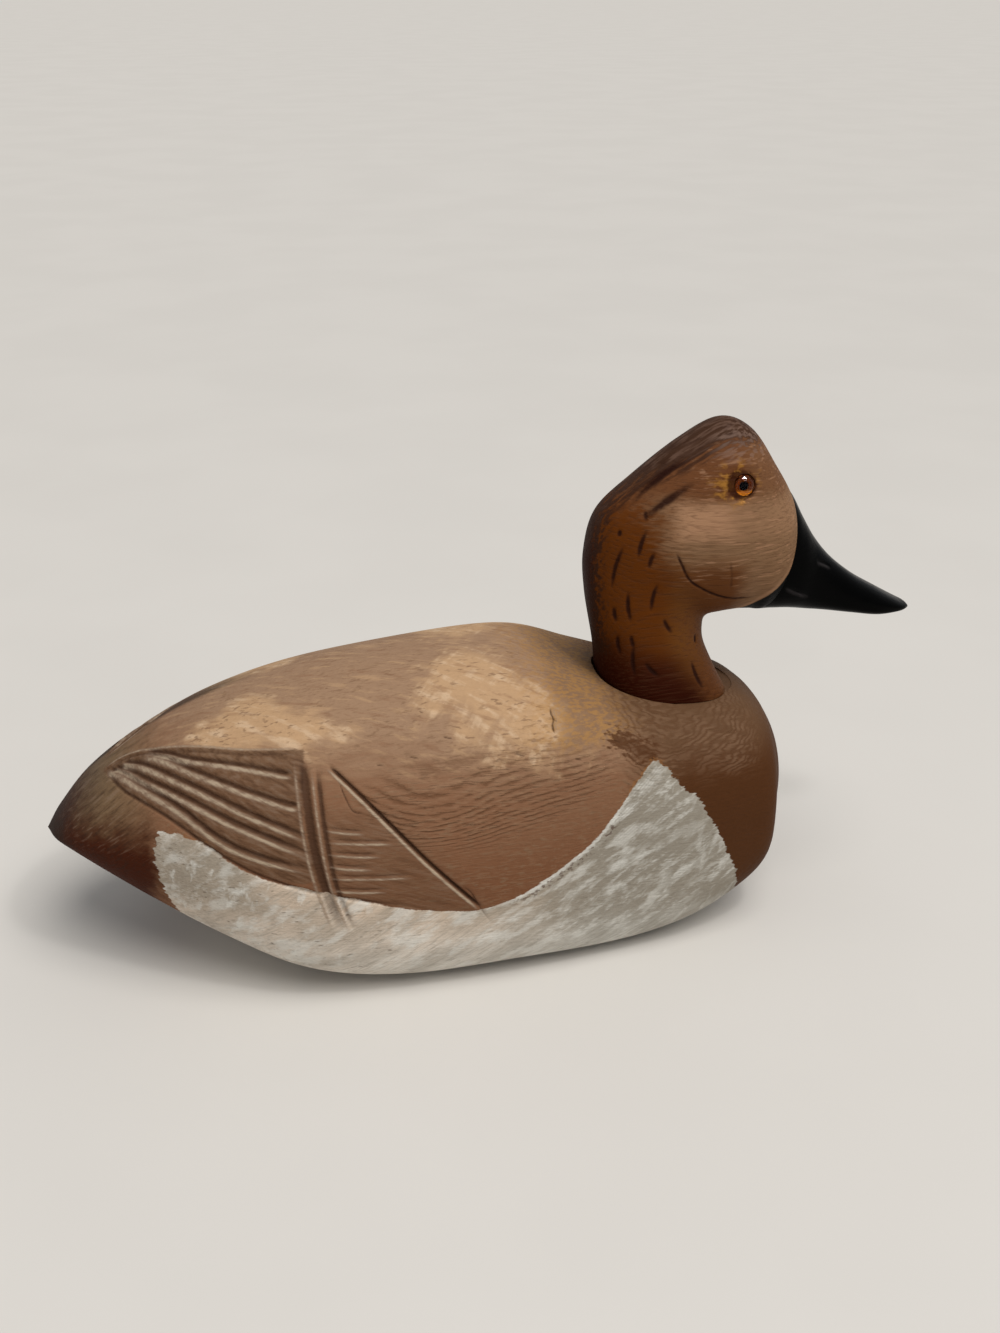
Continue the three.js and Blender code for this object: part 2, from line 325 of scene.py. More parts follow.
def close_skin(bm):
    """Merges seam and poles of a wrapped sheet and turns its faces outwards."""
    bmesh.ops.remove_doubles(bm, verts=bm.verts, dist=SEAM_GAP)
    bmesh.ops.recalc_face_normals(bm, faces=bm.faces)
    bm.normal_update()


# %% [markdown]
# ## Strokes
# A carver's cut is a line drawn on the surface. It has a way across: on one side the wood is
# cut down, on the other a lip stands up and later catches pale paint. Each stroke is drawn as
# a few points, laid on the skin by a ray, and then felt from every vertex, which gives a depth
# for the mesh and two values for the paint. Left and right are mirror images, so a point on
# the far side is folded over before it is measured.

# %% Lay a stroke on a skin
STROKE_STEPS = 8


def lay_stroke(tree, drawn, ray_of):
    """Smooth points and outward directions where rays through drawn points meet a skin."""
    shares = np.linspace(0, 1, STROKE_STEPS * (len(drawn) - 1) + 1)
    places, outward = [], []
    for row in rows_at(drawn, shares):
        origin, direction = ray_of(row)
        place, normal, _, _ = tree.ray_cast(origin, direction)
        if place is not None:
            places.append(place)
            outward.append(normal if normal.y < 0 else -normal)
    return np.array(places), np.array(outward)


# %% Feel a stroke from every point
def feel(points, line, outward, reach):
    """Distance in mm across a stroke, signed by its side, and the share along it."""
    across = np.full(len(points), np.inf)
    share_along = np.zeros(len(points))
    near = np.all((points > line.min(0) - reach) & (points < line.max(0) + reach), axis=1)
    near = np.flatnonzero(near)
    best = np.full(len(near), np.inf)
    for part in range(len(line) - 1):
        step = line[part + 1] - line[part]
        length = np.linalg.norm(step)
        if length == 0:
            continue
        off = points[near] - line[part]
        share = np.clip(off @ step / length**2, 0, 1)
        off -= share[:, None] * step
        off -= (off @ outward[part])[:, None] * outward[part]
        distance = np.linalg.norm(off, axis=1)
        side = np.where(off @ np.cross(step, outward[part]) < 0, -1, 1)
        nearer = distance < best
        best[nearer] = distance[nearer]
        across[near[nearer]] = (distance * side)[nearer]
        share_along[near[nearer]] = (part + share[nearer]) / (len(line) - 1)
    return across, share_along


def bell(value, width):
    """A smooth hump, one high at zero."""
    return np.exp(-((value / width) ** 2))


# %% Carve and colour by strokes
TAPER_POWER = 0.6
SEARCH_REACH = 12


def folded(points):
    """The points, with those on the left side mirrored to the right."""
    return np.column_stack([points[:, 0], -np.abs(points[:, 1]), points[:, 2]])


def carve_strokes(points, strokes):
    """Height in mm, darkness and paleness that a set of strokes gives each point."""
    right = folded(points)
    height, dark, pale = np.zeros((3, len(points)))
    for stroke in strokes:
        reach = 4 * stroke["width"] + abs(stroke["cut_at"])
        across, along = feel(right, stroke["line"], stroke["outward"], reach)
        taper = np.clip(np.minimum(along, 1 - along) / stroke["taper"], 0, 1) ** TAPER_POWER
        groove = bell(across - stroke["cut_at"], stroke["width"]) * taper
        lip = bell(across - stroke["lip_at"], stroke["width"]) * taper
        brush = stroke["brush"] * (1 + stroke["spread"] * (1 - along))
        brushed = bell(across - stroke["lip_at"], brush) * taper
        brushed *= 1 - stroke["fade"] * (1 - along)
        height = np.minimum(height, -stroke["depth"] * groove) + stroke["lip"] * lip
        dark = np.maximum(dark, stroke["dark"] * groove)
        pale = np.maximum(pale, stroke["pale"] * brushed)
    return height, dark, pale


def nearest_stroke(points, strokes):
    """Distance in mm from each point to the closest stroke."""
    right = folded(points)
    closest = np.full(len(points), np.inf)
    for stroke in strokes:
        across, _ = feel(right, stroke["line"], stroke["outward"], SEARCH_REACH)
        closest = np.minimum(closest, np.abs(across))
    return closest


# %% [markdown]
# ## Outlines
# The edges of the paint are outlines too: the grey flank, the dark cap, the patch of filler
# round the eye. For each vertex the script works out how far inside such an outline it lies,
# in millimetres, and stores that as an attribute. The paint then adds brushy noise to the
# distance, so that the edge is ragged at any zoom although the outline has few points.

# %% Measure how far inside an outline a point lies
def inside(u, v, outline):
    """Distance in mm to a closed outline in a flat view, positive inside it."""
    corners = np.array(outline, float)
    nearest = np.full(len(u), np.inf)
    within = np.zeros(len(u), bool)
    for (au, av), (bu, bv) in zip(corners, np.roll(corners, -1, axis=0)):
        du, dv = bu - au, bv - av
        share = np.clip(((u - au) * du + (v - av) * dv) / (du**2 + dv**2), 0, 1)
        nearest = np.minimum(nearest, np.hypot(u - au - share * du, v - av - share * dv))
        if dv:
            crosses = (av > v) != (bv > v)
            within ^= crosses & (u < au + (v - av) * du / dv)
    return np.where(within, nearest, -nearest)


# %% Smooth an outline
def rounded(outline, per_side=6):
    """A closed outline with its corners eased by a smooth curve through its points."""
    ring = [outline[-1], *outline, outline[0], outline[1]]
    shares = np.linspace(1, len(ring) - 2, per_side * len(outline), endpoint=False)
    return rows_at(ring, shares / (len(ring) - 1))


def side_outline(points, outline):
    """How far inside a rounded outline each point lies, seen from the side."""
    return inside(points[:, 0], points[:, 2], rounded(outline))


# %% Turn carved millimetres into a piece in the frame
SAW_GAP = 0.001


def new_piece(name, bm, *materials):
    """An object in the frame's metres from a bmesh in the carver's millimetres."""
    bmesh.ops.translate(bm, verts=bm.verts, vec=(TAIL_TIP, 0, 0))
    bmesh.ops.scale(bm, verts=bm.verts, vec=(MM, MM, MM))
    mesh = bpy.data.meshes.new(name)
    bm.to_mesh(mesh)
    bm.free()
    for material in materials:
        mesh.materials.append(material)
    piece = bpy.data.objects.new(name, mesh)
    bpy.context.scene.collection.objects.link(piece)
    return piece


def press(bm, height):
    """Moves every vertex of a bmesh along its normal by its own height in mm."""
    normals = np.array([vert.normal for vert in bm.verts])
    move_to(bm, points_of(bm) + height[:, None] * normals)


def saw(bm, place, away):
    """Takes away what lies beyond a plane and closes the sawn face."""
    everything = [*bm.verts, *bm.edges, *bm.faces]
    sawn = bmesh.ops.bisect_plane(
        bm, geom=everything, dist=SAW_GAP, plane_co=place, plane_no=away, clear_outer=True
    )
    rim = [item for item in sawn["geom_cut"] if isinstance(item, bmesh.types.BMEdge)]
    bmesh.ops.holes_fill(bm, edges=rim, sides=0)
    bmesh.ops.recalc_face_normals(bm, faces=bm.faces)


def carve_with(piece, tool, operation="DIFFERENCE"):
    """Cuts a piece with a tool, or joins them, and puts the tool away."""
    step = piece.modifiers.new("carve", "BOOLEAN")
    step.operation = operation
    step.object = tool
    step.solver = "EXACT"
    step.material_mode = "TRANSFER"
    graph = bpy.context.evaluated_depsgraph_get()
    result = bpy.data.meshes.new_from_object(piece.evaluated_get(graph))
    piece.modifiers.clear()
    piece.data = result
    result.name = piece.name
    bpy.data.objects.remove(tool)


# %% Smooth shading with crisp saw cuts, and values for the paint
CRISP_ANGLE = math.radians(38)
TINY = 1e-6


def finish_surface(piece):
    """Shades a piece smooth, except along edges sharper than the crisp angle."""
    bm = bmesh.new()
    bm.from_mesh(piece.data)
    bmesh.ops.dissolve_degenerate(bm, edges=bm.edges, dist=TINY)
    for face in bm.faces:
        face.smooth = True
    for edge in bm.edges:
        edge.smooth = len(edge.link_faces) != 2 or edge.calc_face_angle() < CRISP_ANGLE
    open_edges = sum(1 for edge in bm.edges if len(edge.link_faces) != 2)
    triangles = sum(len(face.verts) - 2 for face in bm.faces)
    bm.to_mesh(piece.data)
    bm.free()
    print(piece.name, "triangles:", triangles, "open edges:", open_edges)


def carver_points(piece):
    """The vertices of a piece in the carver's millimetres."""
    flat = np.zeros(3 * len(piece.data.vertices))
    piece.data.vertices.foreach_get("co", flat)
    return flat.reshape(-1, 3) / MM - (TAIL_TIP, 0, 0)


def store(piece, **values):
    """Keeps one number per vertex under each name, for the paint to read."""
    for name, numbers in values.items():
        layer = piece.data.attributes.new(name, "FLOAT", "POINT")
        layer.data.foreach_set("value", np.asarray(numbers, np.float32))


# %% [markdown]
# ## Mixing paint
# A material is a graph of nodes, but its recipe reads best as arithmetic. The class below
# wraps one socket, so that `1 - mask` or `edge + 2 * grain` adds the Math nodes by itself.
# A colour goes through Mix nodes only, as coats of paint over each other, because a Math node
# would turn it grey. Every other node is made by one method that takes its type, its settings
# and the values or links of its sockets.

# %% A socket with arithmetic
NOISE_MIDDLE = 0.5


class Wire:
    """One output socket of a recipe, with the usual operators."""

    def __init__(self, recipe, socket):
        self.recipe = recipe
        self.socket = socket

    def maths(self, operation, first, second):
        settings = {"operation": operation}
        return self.recipe.node("ShaderNodeMath", settings, {0: first, 1: second})

    def __add__(self, other):
        return self.maths("ADD", self, other)

    def __radd__(self, other):
        return self.maths("ADD", other, self)

    def __sub__(self, other):
        return self.maths("SUBTRACT", self, other)

    def __rsub__(self, other):
        return self.maths("SUBTRACT", other, self)

    def __mul__(self, other):
        return self.maths("MULTIPLY", self, other)

    def __rmul__(self, other):
        return self.maths("MULTIPLY", other, self)

    def __truediv__(self, number):
        return self * (1 / number)

    def __pow__(self, other):
        return self.maths("POWER", self, other)

    def bigger(self, other):
        return self.maths("MAXIMUM", self, other)

    def wave(self):
        """A wave from 0 to 1 and back for each whole number of this value."""
        turn = self * (2 * math.pi)
        return self.maths("COSINE", turn, 0) * -0.5 + 0.5

    def sway(self, amount):
        """This noise turned into a push of up to half an amount, either way."""
        return amount * (self - NOISE_MIDDLE)

    def above(self, low, high):
        """0 where this value is below low, 1 above high and smooth between."""
        settings = {"interpolation_type": "SMOOTHSTEP"}
        sockets = {"Value": self, "From Min": low, "From Max": high}
        return self.recipe.node("ShaderNodeMapRange", settings, sockets)

    def below(self, low, high):
        """1 where this value is below low, 0 above high and smooth between."""
        return 1 - self.above(low, high)

    def coat(self, share, colour):
        """This colour under a share of another."""
        return self.recipe.mix(share, self, colour)


# %% Colours by their usual hex names
def linear(share):
    """The amount of light for one channel of a printed colour."""
    return share / 12.92 if share <= 0.04045 else ((share + 0.055) / 1.055) ** 2.4


def tint(code):
    """A linear colour from a hex code as printed on a paint chart."""
    red, green, blue = (linear(int(code[at:at + 2], 16) / 255) for at in (0, 2, 4))
    return red, green, blue, 1.0


# %% A recipe for one paint
class Recipe:
    """The node graph of one material."""

    def __init__(self, name):
        self.material = bpy.data.materials.new(name)
        self.material.use_nodes = True
        self.tree = self.material.node_tree
        self.shader = self.tree.nodes["Principled BSDF"]

    def node(self, kind, settings=None, sockets=None, output=0):
        """Adds a node: its settings first, then the values or links of its sockets."""
        made = self.tree.nodes.new(kind)
        for key, value in (settings or {}).items():
            setattr(made, key, value)
        for key, value in (sockets or {}).items():
            self.feed(made.inputs[key], value)
        return Wire(self, made.outputs[output])

    def feed(self, socket, value):
        """Links a wire to a socket, or sets the socket's own value."""
        if isinstance(value, Wire):
            self.tree.links.new(value.socket, socket)
        else:
            socket.default_value = value

    def surface(self, **sockets):
        """Sets or links sockets of the surface shader, with _ for a space in a name."""
        for key, value in sockets.items():
            self.feed(self.shader.inputs[key.replace("_", " ")], value)

    @cached_property
    def place(self):
        """Where a point lies in the carver's millimetres."""
        point = self.node("ShaderNodeTexCoord", output="Object")
        return self.node("ShaderNodeMapping", None, {
            "Vector": point,
            "Location": (-TAIL_TIP, 0, 0),
            "Scale": (1 / MM, 1 / MM, 1 / MM),
        })

    @cached_property
    def axes(self):
        """The x, y and z of that place."""
        return [
            self.node("ShaderNodeSeparateXYZ", None, {0: self.place}, axis) for axis in range(3)
        ]

    def stored(self, name):
        """A number kept on the vertices."""
        settings = {"attribute_name": name}
        return self.node("ShaderNodeAttribute", settings, output="Fac")

    def grain(self, size, detail=2.0, turn=(0, 0, 0), rough=0.5):
        """Noise from 0 to 1 with features of a size in mm, which may differ by axis."""
        turned = self.node("ShaderNodeMapping", {"vector_type": "TEXTURE"}, {
            "Vector": self.place,
            "Rotation": tuple(math.radians(angle) for angle in turn),
            "Scale": size,
        })
        sockets = {"Vector": turned, "Scale": 1.0, "Detail": detail, "Roughness": rough}
        return self.node("ShaderNodeTexNoise", None, sockets)

    def mix(self, share, first, second, way="MIX"):
        """One colour over another."""
        settings = {"data_type": "RGBA", "blend_type": way}
        return self.node("ShaderNodeMix", settings, {0: share, 6: first, 7: second}, 2)

    def bump(self, height, depth):
        """A normal from a height between 0 and 1 that stands for a depth in mm."""
        return self.node("ShaderNodeBump", None, {"Height": height, "Distance": depth * MM})


# %% [markdown]
# ## The folded wing
# The wing is drawn on the body's side in two numbers a point: the distance from the tail tip
# and the angle above level, seen from an axis through the body. Five feather lines fan out
# from the rump, each with a deep cut above it and a lip that is left standing. Two upright
# strokes and a slanting one close the wing off, with six short level strokes between them.

# %% Shapes of cut
PLAIN_CUT = dict(lip=0.0, cut_at=0.0, lip_at=0.0, dark=0.0, pale=0.0, spread=0.0, fade=0.0)


def cut(**shape):
    """A shape of cut in mm, with shades from 0 up and the share of its length that tapers."""
    return {**PLAIN_CUT, "brush": shape["width"], **shape}


FEATHER = cut(
    width=1.2, depth=1.1, lip=0.45, cut_at=-2.4, dark=0.9, pale=1.05, taper=0.1,
    brush=0.85, spread=1.7, fade=0.3,
)
EDGE = cut(width=0.9, depth=0.8, lip=0.2, lip_at=2.2, dark=0.8, taper=0.1)
LEDGE = cut(
    width=0.9, depth=0.6, lip=0.35, cut_at=-2.0, lip_at=0.3, dark=0.55, pale=0.75, taper=0.12
)
BROAD = cut(
    width=2.2, depth=1.2, lip=0.35, cut_at=-3.6, dark=1.15, pale=0.75, taper=0.12, brush=0.95
)
UPRIGHT = cut(
    width=1.2, depth=1.0, lip=0.35, cut_at=-2.5, dark=0.95, pale=0.75, taper=0.12, brush=0.9
)
SLANT = cut(
    width=0.8, depth=1.5, lip=0.35, cut_at=-0.5, lip_at=1.2, dark=1.3, pale=1.1, taper=0.05
)
LEVEL = cut(width=0.65, depth=0.45, lip=0.25, cut_at=-1.6, dark=0.6, pale=0.95, taper=0.25)
NICK = cut(width=0.42, depth=0.4, dark=0.75, taper=0.25)
CRACK = cut(width=0.5, depth=0.7, lip=0.2, lip_at=-1.3, dark=0.9, pale=0.6, taper=0.15)

# %% Lines of the wing
WING_AXIS_Z = 60
WING_LINES = [
    (LEDGE, [(115, 47.5), (100, 49.5), (85, 53), (60, 64), (38, 78), (28, 78)]),
    (FEATHER, [(46, 69), (56, 60), (70, 50), (100, 39.5), (110, 37)]),
    (FEATHER, [(45, 68), (54, 58), (67, 45.5), (85, 35), (104, 27.5), (112, 25.5)]),
    (FEATHER, [(36, 70), (43, 61), (60, 43), (85, 27), (116, 14)]),
    (FEATHER, [(32, 70), (37, 61), (51, 42.5), (80, 23), (117, 8.5)]),
    (FEATHER, [(29.5, 72), (34, 61), (44, 44), (60, 29), (82, 13), (116, 4)]),
    (EDGE, [(29, 72), (38, 45), (57, 26), (82, 9), (110, 0), (160, -10)]),
    (BROAD, [(111, 44), (112, 21), (115, 4), (122, -15)]),
    (UPRIGHT, [(118, 40), (119, 20), (122, 1), (129, -16)]),
    (SLANT, [(125, 40), (148, 19), (165, 4), (186, -13)]),
    (NICK, [(128, 37), (131, 29), (134, 24), (139, 23)]),
]
LEVEL_START = (121, 18.5)
LEVEL_STEP = 3.9
LEVEL_LENGTHS = (18, 30, 24, 20, 38, 26)
for row, length in enumerate(LEVEL_LENGTHS):
    start, high = LEVEL_START[0], LEVEL_START[1] - LEVEL_STEP * row
    middle, end = (start + length / 2, high - 1.5), (start + length, high - 2.5)
    WING_LINES.append((LEVEL, [(start, high), middle, end]))
print("lines of the wing:", len(WING_LINES))

# %% A crack and small gouges on the back
BACK_MARKS = [
    (CRACK, [(221.9, 53.0), (221.7, 50.5), (222.3, 48.2), (221.4, 46.0), (221.8, 43.0)]),
    (NICK, [(222, 48.3), (223.8, 47.5)]),
    (NICK, [(165.5, 56.5), (167.5, 55.5)]),
    (NICK, [(174, 46), (178.5, 45)]),
    (NICK, [(159, 40.5), (163.5, 39.5)]),
    (NICK, [(145, 38.8), (148, 38.4)]),
    (NICK, [(204, 38), (208, 37)]),
    (NICK, [(229, 35), (233, 34)]),
    (NICK, [(248, 40.5), (251.5, 39.5)]),
    (NICK, [(178, -4), (182, -7), (186, -13), (191, -19)]),
]


# %% Rays that lay the lines on the body
def ray_round_body(row):
    """A ray from the body's axis at a distance from the tail, at an angle above level."""
    x, angle = row[0], math.radians(row[1])
    return Vector((x, 0, WING_AXIS_Z)), Vector((0, -math.cos(angle), math.sin(angle)))


def laid(tree, lines, ray_of):
    """Every line of a list, laid on a skin with its shape of cut."""
    strokes = []
    for shape, drawn in lines:
        line, outward = lay_stroke(tree, drawn, ray_of)
        strokes.append({**shape, "line": line, "outward": outward})
    return strokes


# %% [markdown]
# ## Grain
# A block of wood is a stack of growth rings, and what the eye reads as grain is where the
# surface cuts them. So the grain here is solid: each vertex gets its distance from the heart
# of the tree, pushed about by slow noise, and the rings follow by themselves, level along the
# side and closed in loops where the surface just grazes them. Only the arcs under the neck are
# drawn by the paint.

# %% Distance from the heart of the tree
def growth_rings(points, heart, drift, run):
    """A slowly drifting distance in mm from a heart line along x."""
    rings = np.hypot(points[:, 1] - heart[0], points[:, 2] - heart[1])
    for size, amount in drift:
        scaled = points / (size * run, size, size)
        rings += amount * np.array([noise.noise(point) for point in scaled])
    return rings


# %% Outlines of the body's paint, in mm from the tail and above the ground
FLANK = [
    (53, 77), (50, 68), (52, 54), (57, 38), (64, 18), (74, -8), (180, -30), (312, -8), (312, 14),
    (308, 34), (302, 46), (298, 57), (291, 69), (286, 78), (278, 84), (271, 93), (266, 97),
    (260, 92), (254, 86), (246, 76), (238, 67), (227, 59), (217, 53), (204, 46), (186, 41.5),
    (171, 43), (151, 47.5), (133, 53.4), (113, 59.8), (96, 63.4), (82, 69.4), (70, 76.4),
]
RIDGED = [
    (146, 104), (196, 112), (246, 106), (250, 94), (236, 82), (205, 72), (163, 68), (134, 88),
]
SMEAR = [
    (244, 108.5), (252, 109.5), (262, 105), (270, 100), (266, 95), (258, 97.5), (249, 103),
]
OCHRE_FRONT = [
    (168, 38), (168, 26), (178, 9), (190, 2), (201, 10), (216, 30), (231, 44), (234, 57), (218, 62),
    (203, 58), (190, 58), (180, 48),
]
OCHRE_REAR = [
    (66, 26), (84, 10), (104, 14), (122, 34), (134, 44), (112, 47), (92, 44), (74, 36),
]

# %% Outline of the wing, in mm from the tail and degrees above level
WING_PANEL = [
    (28, 78), (38, 78), (60, 64), (85, 53), (100, 49.5), (114, 47.5), (115.5, 46), (113, 21),
    (115, 2), (82, 9), (57, 26), (38, 45),
]
WING_RADIUS = 70

# %% [markdown]
# ## Body
# The sheet is ruled at about two millimetres, split once over the ridged side and twice along
# every cut, then wrapped and carved. A saw cut makes the flat underside. The recess for the
# neck is cut by the neck's own form, a little enlarged, and by an oval plug with a flat end.

# %% Wrap and carve the body
BODY_SLICES = 190
BODY_AROUND = 200
STROKE_ROOM = 3.2
SIDE_FROM = 30
RIDGE_FADE = 9


def ridged_share(points):
    """How far each point lies in the ridged part of a side, from 0 to 1."""
    share = np.clip(side_outline(points, RIDGED) / RIDGE_FADE, 0, 1)
    return share * (np.abs(points[:, 1]) > SIDE_FROM)


body_form = (BODY_STATIONS, BODY_START, BODY_SIZE)
body_marks = even_marks(*body_form)
rough = ruled_sheet(BODY_SLICES // 2, BODY_AROUND // 2)
move_to(rough, wrapped(rough, *body_form, body_marks))
close_skin(rough)
body_strokes = laid(BVHTree.FromBMesh(rough), WING_LINES + BACK_MARKS, ray_round_body)
rough.free()

body_sheet = ruled_sheet(BODY_SLICES, BODY_AROUND)
points = wrapped(body_sheet, *body_form, body_marks)
by_stroke = nearest_stroke(points, body_strokes) < 2 * STROKE_ROOM
split_where(body_sheet, by_stroke | (ridged_share(points) > 0))
points = wrapped(body_sheet, *body_form, body_marks)
split_where(body_sheet, nearest_stroke(points, body_strokes) < STROKE_ROOM)
move_to(body_sheet, wrapped(body_sheet, *body_form, body_marks))
close_skin(body_sheet)
print("body vertices:", len(body_sheet.verts))


# %% Press the cuts and the raised grain into the body
BODY_HEART = (0, -240)
BODY_DRIFT = [(24, 3.6), (7, 0.6)]
GRAIN_RUN = 2.6
RING_SPACING = 2.3
RIDGE_DEPTH = 0.3
BOW_RISE = 12
BOW_PLACE = (166, 86)
BOW_SIZE = (30, 20)


def body_rings(points):
    """The body's growth rings, with the bow in the grain on each side."""
    rings = growth_rings(points, BODY_HEART, BODY_DRIFT, GRAIN_RUN)
    lengthways = bell(points[:, 0] - BOW_PLACE[0], BOW_SIZE[0])
    return rings + BOW_RISE * lengthways * bell(points[:, 2] - BOW_PLACE[1], BOW_SIZE[1])


points = points_of(body_sheet)
height, _, _ = carve_strokes(points, body_strokes)
furrow = (0.5 - 0.5 * np.cos(2 * math.pi * body_rings(points) / RING_SPACING)) ** 3
press(body_sheet, height - RIDGE_DEPTH * ridged_share(points) * furrow)
saw(body_sheet, (0, 0, 0), (0, 0, -1))
body = new_piece("painted_body", body_sheet)

# %% Cut the recess for the neck
SEAT = (286, 106.5)
SEAT_SLOPE = math.radians(3)
SEAT_LENGTH = 64
SEAT_WIDTH = 52
SEAT_EASE = 1 + 2 / SEAT_WIDTH
SEAT_UP = Vector((math.sin(SEAT_SLOPE), 0, math.cos(SEAT_SLOPE)))
PLUG_HEIGHT = 44
TOOL_SLICES = 90
TOOL_AROUND = 80


def saw_at_seat(bm, lift):
    """Takes away what lies below the plane of the neck's seat."""
    saw(bm, (SEAT[0], 0, SEAT[1] + lift), -SEAT_UP)


head_form = (HEAD_STATIONS, HEAD_START, HEAD_SIZE)
head_marks = even_marks(*head_form)
neck_tool = ruled_sheet(TOOL_SLICES, TOOL_AROUND)
move_to(neck_tool, wrapped(neck_tool, *head_form, head_marks))
close_skin(neck_tool)
bmesh.ops.scale(
    neck_tool, verts=neck_tool.verts, vec=(SEAT_EASE, SEAT_EASE, 1),
    space=Matrix.Translation((-SEAT[0], 0, 0)),
)
saw_at_seat(neck_tool, 0)
carve_with(body, new_piece("neck_tool", neck_tool))

oval = bmesh.new()
bmesh.ops.create_cone(
    oval, cap_ends=True, segments=96, radius1=0.5, radius2=0.5, depth=1,
    matrix=Matrix.Translation((SEAT[0], 0, SEAT[1]))
    @ Matrix.Rotation(SEAT_SLOPE, 4, "Y")
    @ Matrix.Translation((0, 0, PLUG_HEIGHT / 2))
    @ Matrix.Diagonal((SEAT_LENGTH, SEAT_WIDTH, PLUG_HEIGHT, 1)),
)
carve_with(body, new_piece("oval_tool", oval))

# %% Values for the body's paint
TOP_FROM = 95
OUTSIDE = -30

points = carver_points(body)
_, dark, pale = carve_strokes(points, body_strokes)
across = np.abs(points[:, 1])
climb = np.arctan2(points[:, 2] - WING_AXIS_Z, across)
panel_outline = [(x, WING_RADIUS * math.radians(angle)) for x, angle in WING_PANEL]
patches = {}
for name, outline in (("ochre_front", OCHRE_FRONT), ("ochre_rear", OCHRE_REAR)):
    from_edge = inside(points[:, 0], across, rounded(outline))
    patches[name] = np.where(points[:, 2] > TOP_FROM, from_edge, OUTSIDE)
store(
    body,
    dark=dark,
    pale=pale,
    ring=body_rings(points),
    ridged=ridged_share(points),
    flank=side_outline(points, FLANK),
    smear=np.where(across > SIDE_FROM, side_outline(points, SMEAR), OUTSIDE),
    panel=inside(points[:, 0], WING_RADIUS * climb, rounded(panel_outline)),
    **patches,
)
finish_surface(body)

# %% [markdown]
# ## Paint of the body
# The real paint was laid in a few coats: tan over the back, red-brown down the sides, dark
# brown on breast and tail, a brown wing, pale grey on the flanks, and a dry brush of pale tan
# over the lips of the wing. The recipe goes in that order, and every coat has its own brush
# noise, drawn out along the way the brush went.

# %% Mix the body's paint
BACK_TAN = tint("9b7c62")
BACK_WORN = tint("80634b")
SIDE_BROWN = tint("815c43")
SIDE_LOW = tint("785037")
OCHRE = tint("c09c76")
OCHRE_LIGHT = tint("d0b495")
STIPPLE = tint("aa7d43")
BREAST_TOP = tint("624731")
BREAST = tint("4c2c14")
BREAST_LINE = tint("80634c")
TAIL_RED = tint("401804")
TAIL_OLIVE = tint("725c43")
TAIL_GREY = tint("544536")
TAIL_TIP_BROWN = tint("2e1f17")
FAR_SIDE_SHADE = tint("2f1d13")
WING_BROWN = tint("674b36")
FLANK_GREY = tint("cebaa5")
FLANK_FRONT_SHADE = tint("91897c")
FLANK_LIGHT = tint("e0ded6")
FLANK_DARK = tint("8e8577")
FLANK_TICK = tint("6a5c4e")
HALO_RUST = tint("8f5f30")
LIP_SOFT = tint("8a7462")
LIP_PALE = tint("af9c84")
GRAIN_DARK = tint("593a24")
CUT_DARK = tint("392316")


# %% Ground coats of back, side and breast
def ground_coats(paint, noises):
    """The body's browns, before tail, grain, wing and flank."""
    x, _, z = paint.axes
    brushed, fine, cloudy, speckle = noises
    high = (z + brushed.sway(18) + cloudy.sway(14)).above(91, 117)
    colour = paint.mix(z.above(50, 88), SIDE_LOW, SIDE_BROWN)
    colour = colour.coat(high, BACK_TAN)
    colour = colour.coat(0.6 * fine.above(0.48, 0.72), BACK_WORN)

    patchy = paint.grain((17, 13, 13), 3)
    dabs = paint.grain((17, 3.6, 8), 3, turn=(0, 0, -40))
    for name, way in (("ochre_front", 50), ("ochre_rear", -18)):
        swept = paint.grain((12, 3.0, 9), 3, turn=(0, 0, way))
        patch = paint.stored(name) + patchy.sway(34) + swept.sway(12)
        colour = colour.coat(0.75 * patch.above(-6, 9), OCHRE)
        light = patch.above(-4, 5) * (dabs + swept.sway(0.4)).above(0.48, 0.70)
        colour = colour.coat(0.6 * light, OCHRE_LIGHT)
    dirt = paint.grain((4.5, 1.5, 1.5), 3)
    dirty = dirt.above(0.56, 0.67) * patchy.above(0.40, 0.54)
    colour = colour.coat(0.7 * dirty, BACK_WORN)
    strokes = paint.grain((15, 2.6, 6), 3, turn=(0, 0, -24))
    colour = colour.coat(0.35 * high * strokes.above(0.54, 0.68), OCHRE)
    colour = colour.coat(0.35 * strokes.below(0.32, 0.44), SIDE_BROWN)

    spread = (x + cloudy.sway(24)).above(196, 230) * z.above(103, 111)
    colour = colour.coat(0.85 * (x + cloudy.sway(14)).above(216, 232) * spread, BACK_WORN)
    spots = paint.grain((3.4, 1.7, 2.0), 3, turn=(0, 0, 24)).above(0.40, 0.60)
    colour = colour.coat(spread * (0.05 + 0.5 * spots), STIPPLE)

    ahead = x + 0.25 * (z - 90) + cloudy.sway(12) + brushed.sway(8)
    breast = paint.mix((z + cloudy.sway(10)).above(82, 106), BREAST, BREAST_TOP)
    colour = colour.coat(ahead.above(250, 276), breast)
    smear = (paint.stored("smear") + speckle.sway(4) + dirt.sway(12)).above(-1.0, 2.0)
    return colour.coat(0.9 * smear, BREAST)
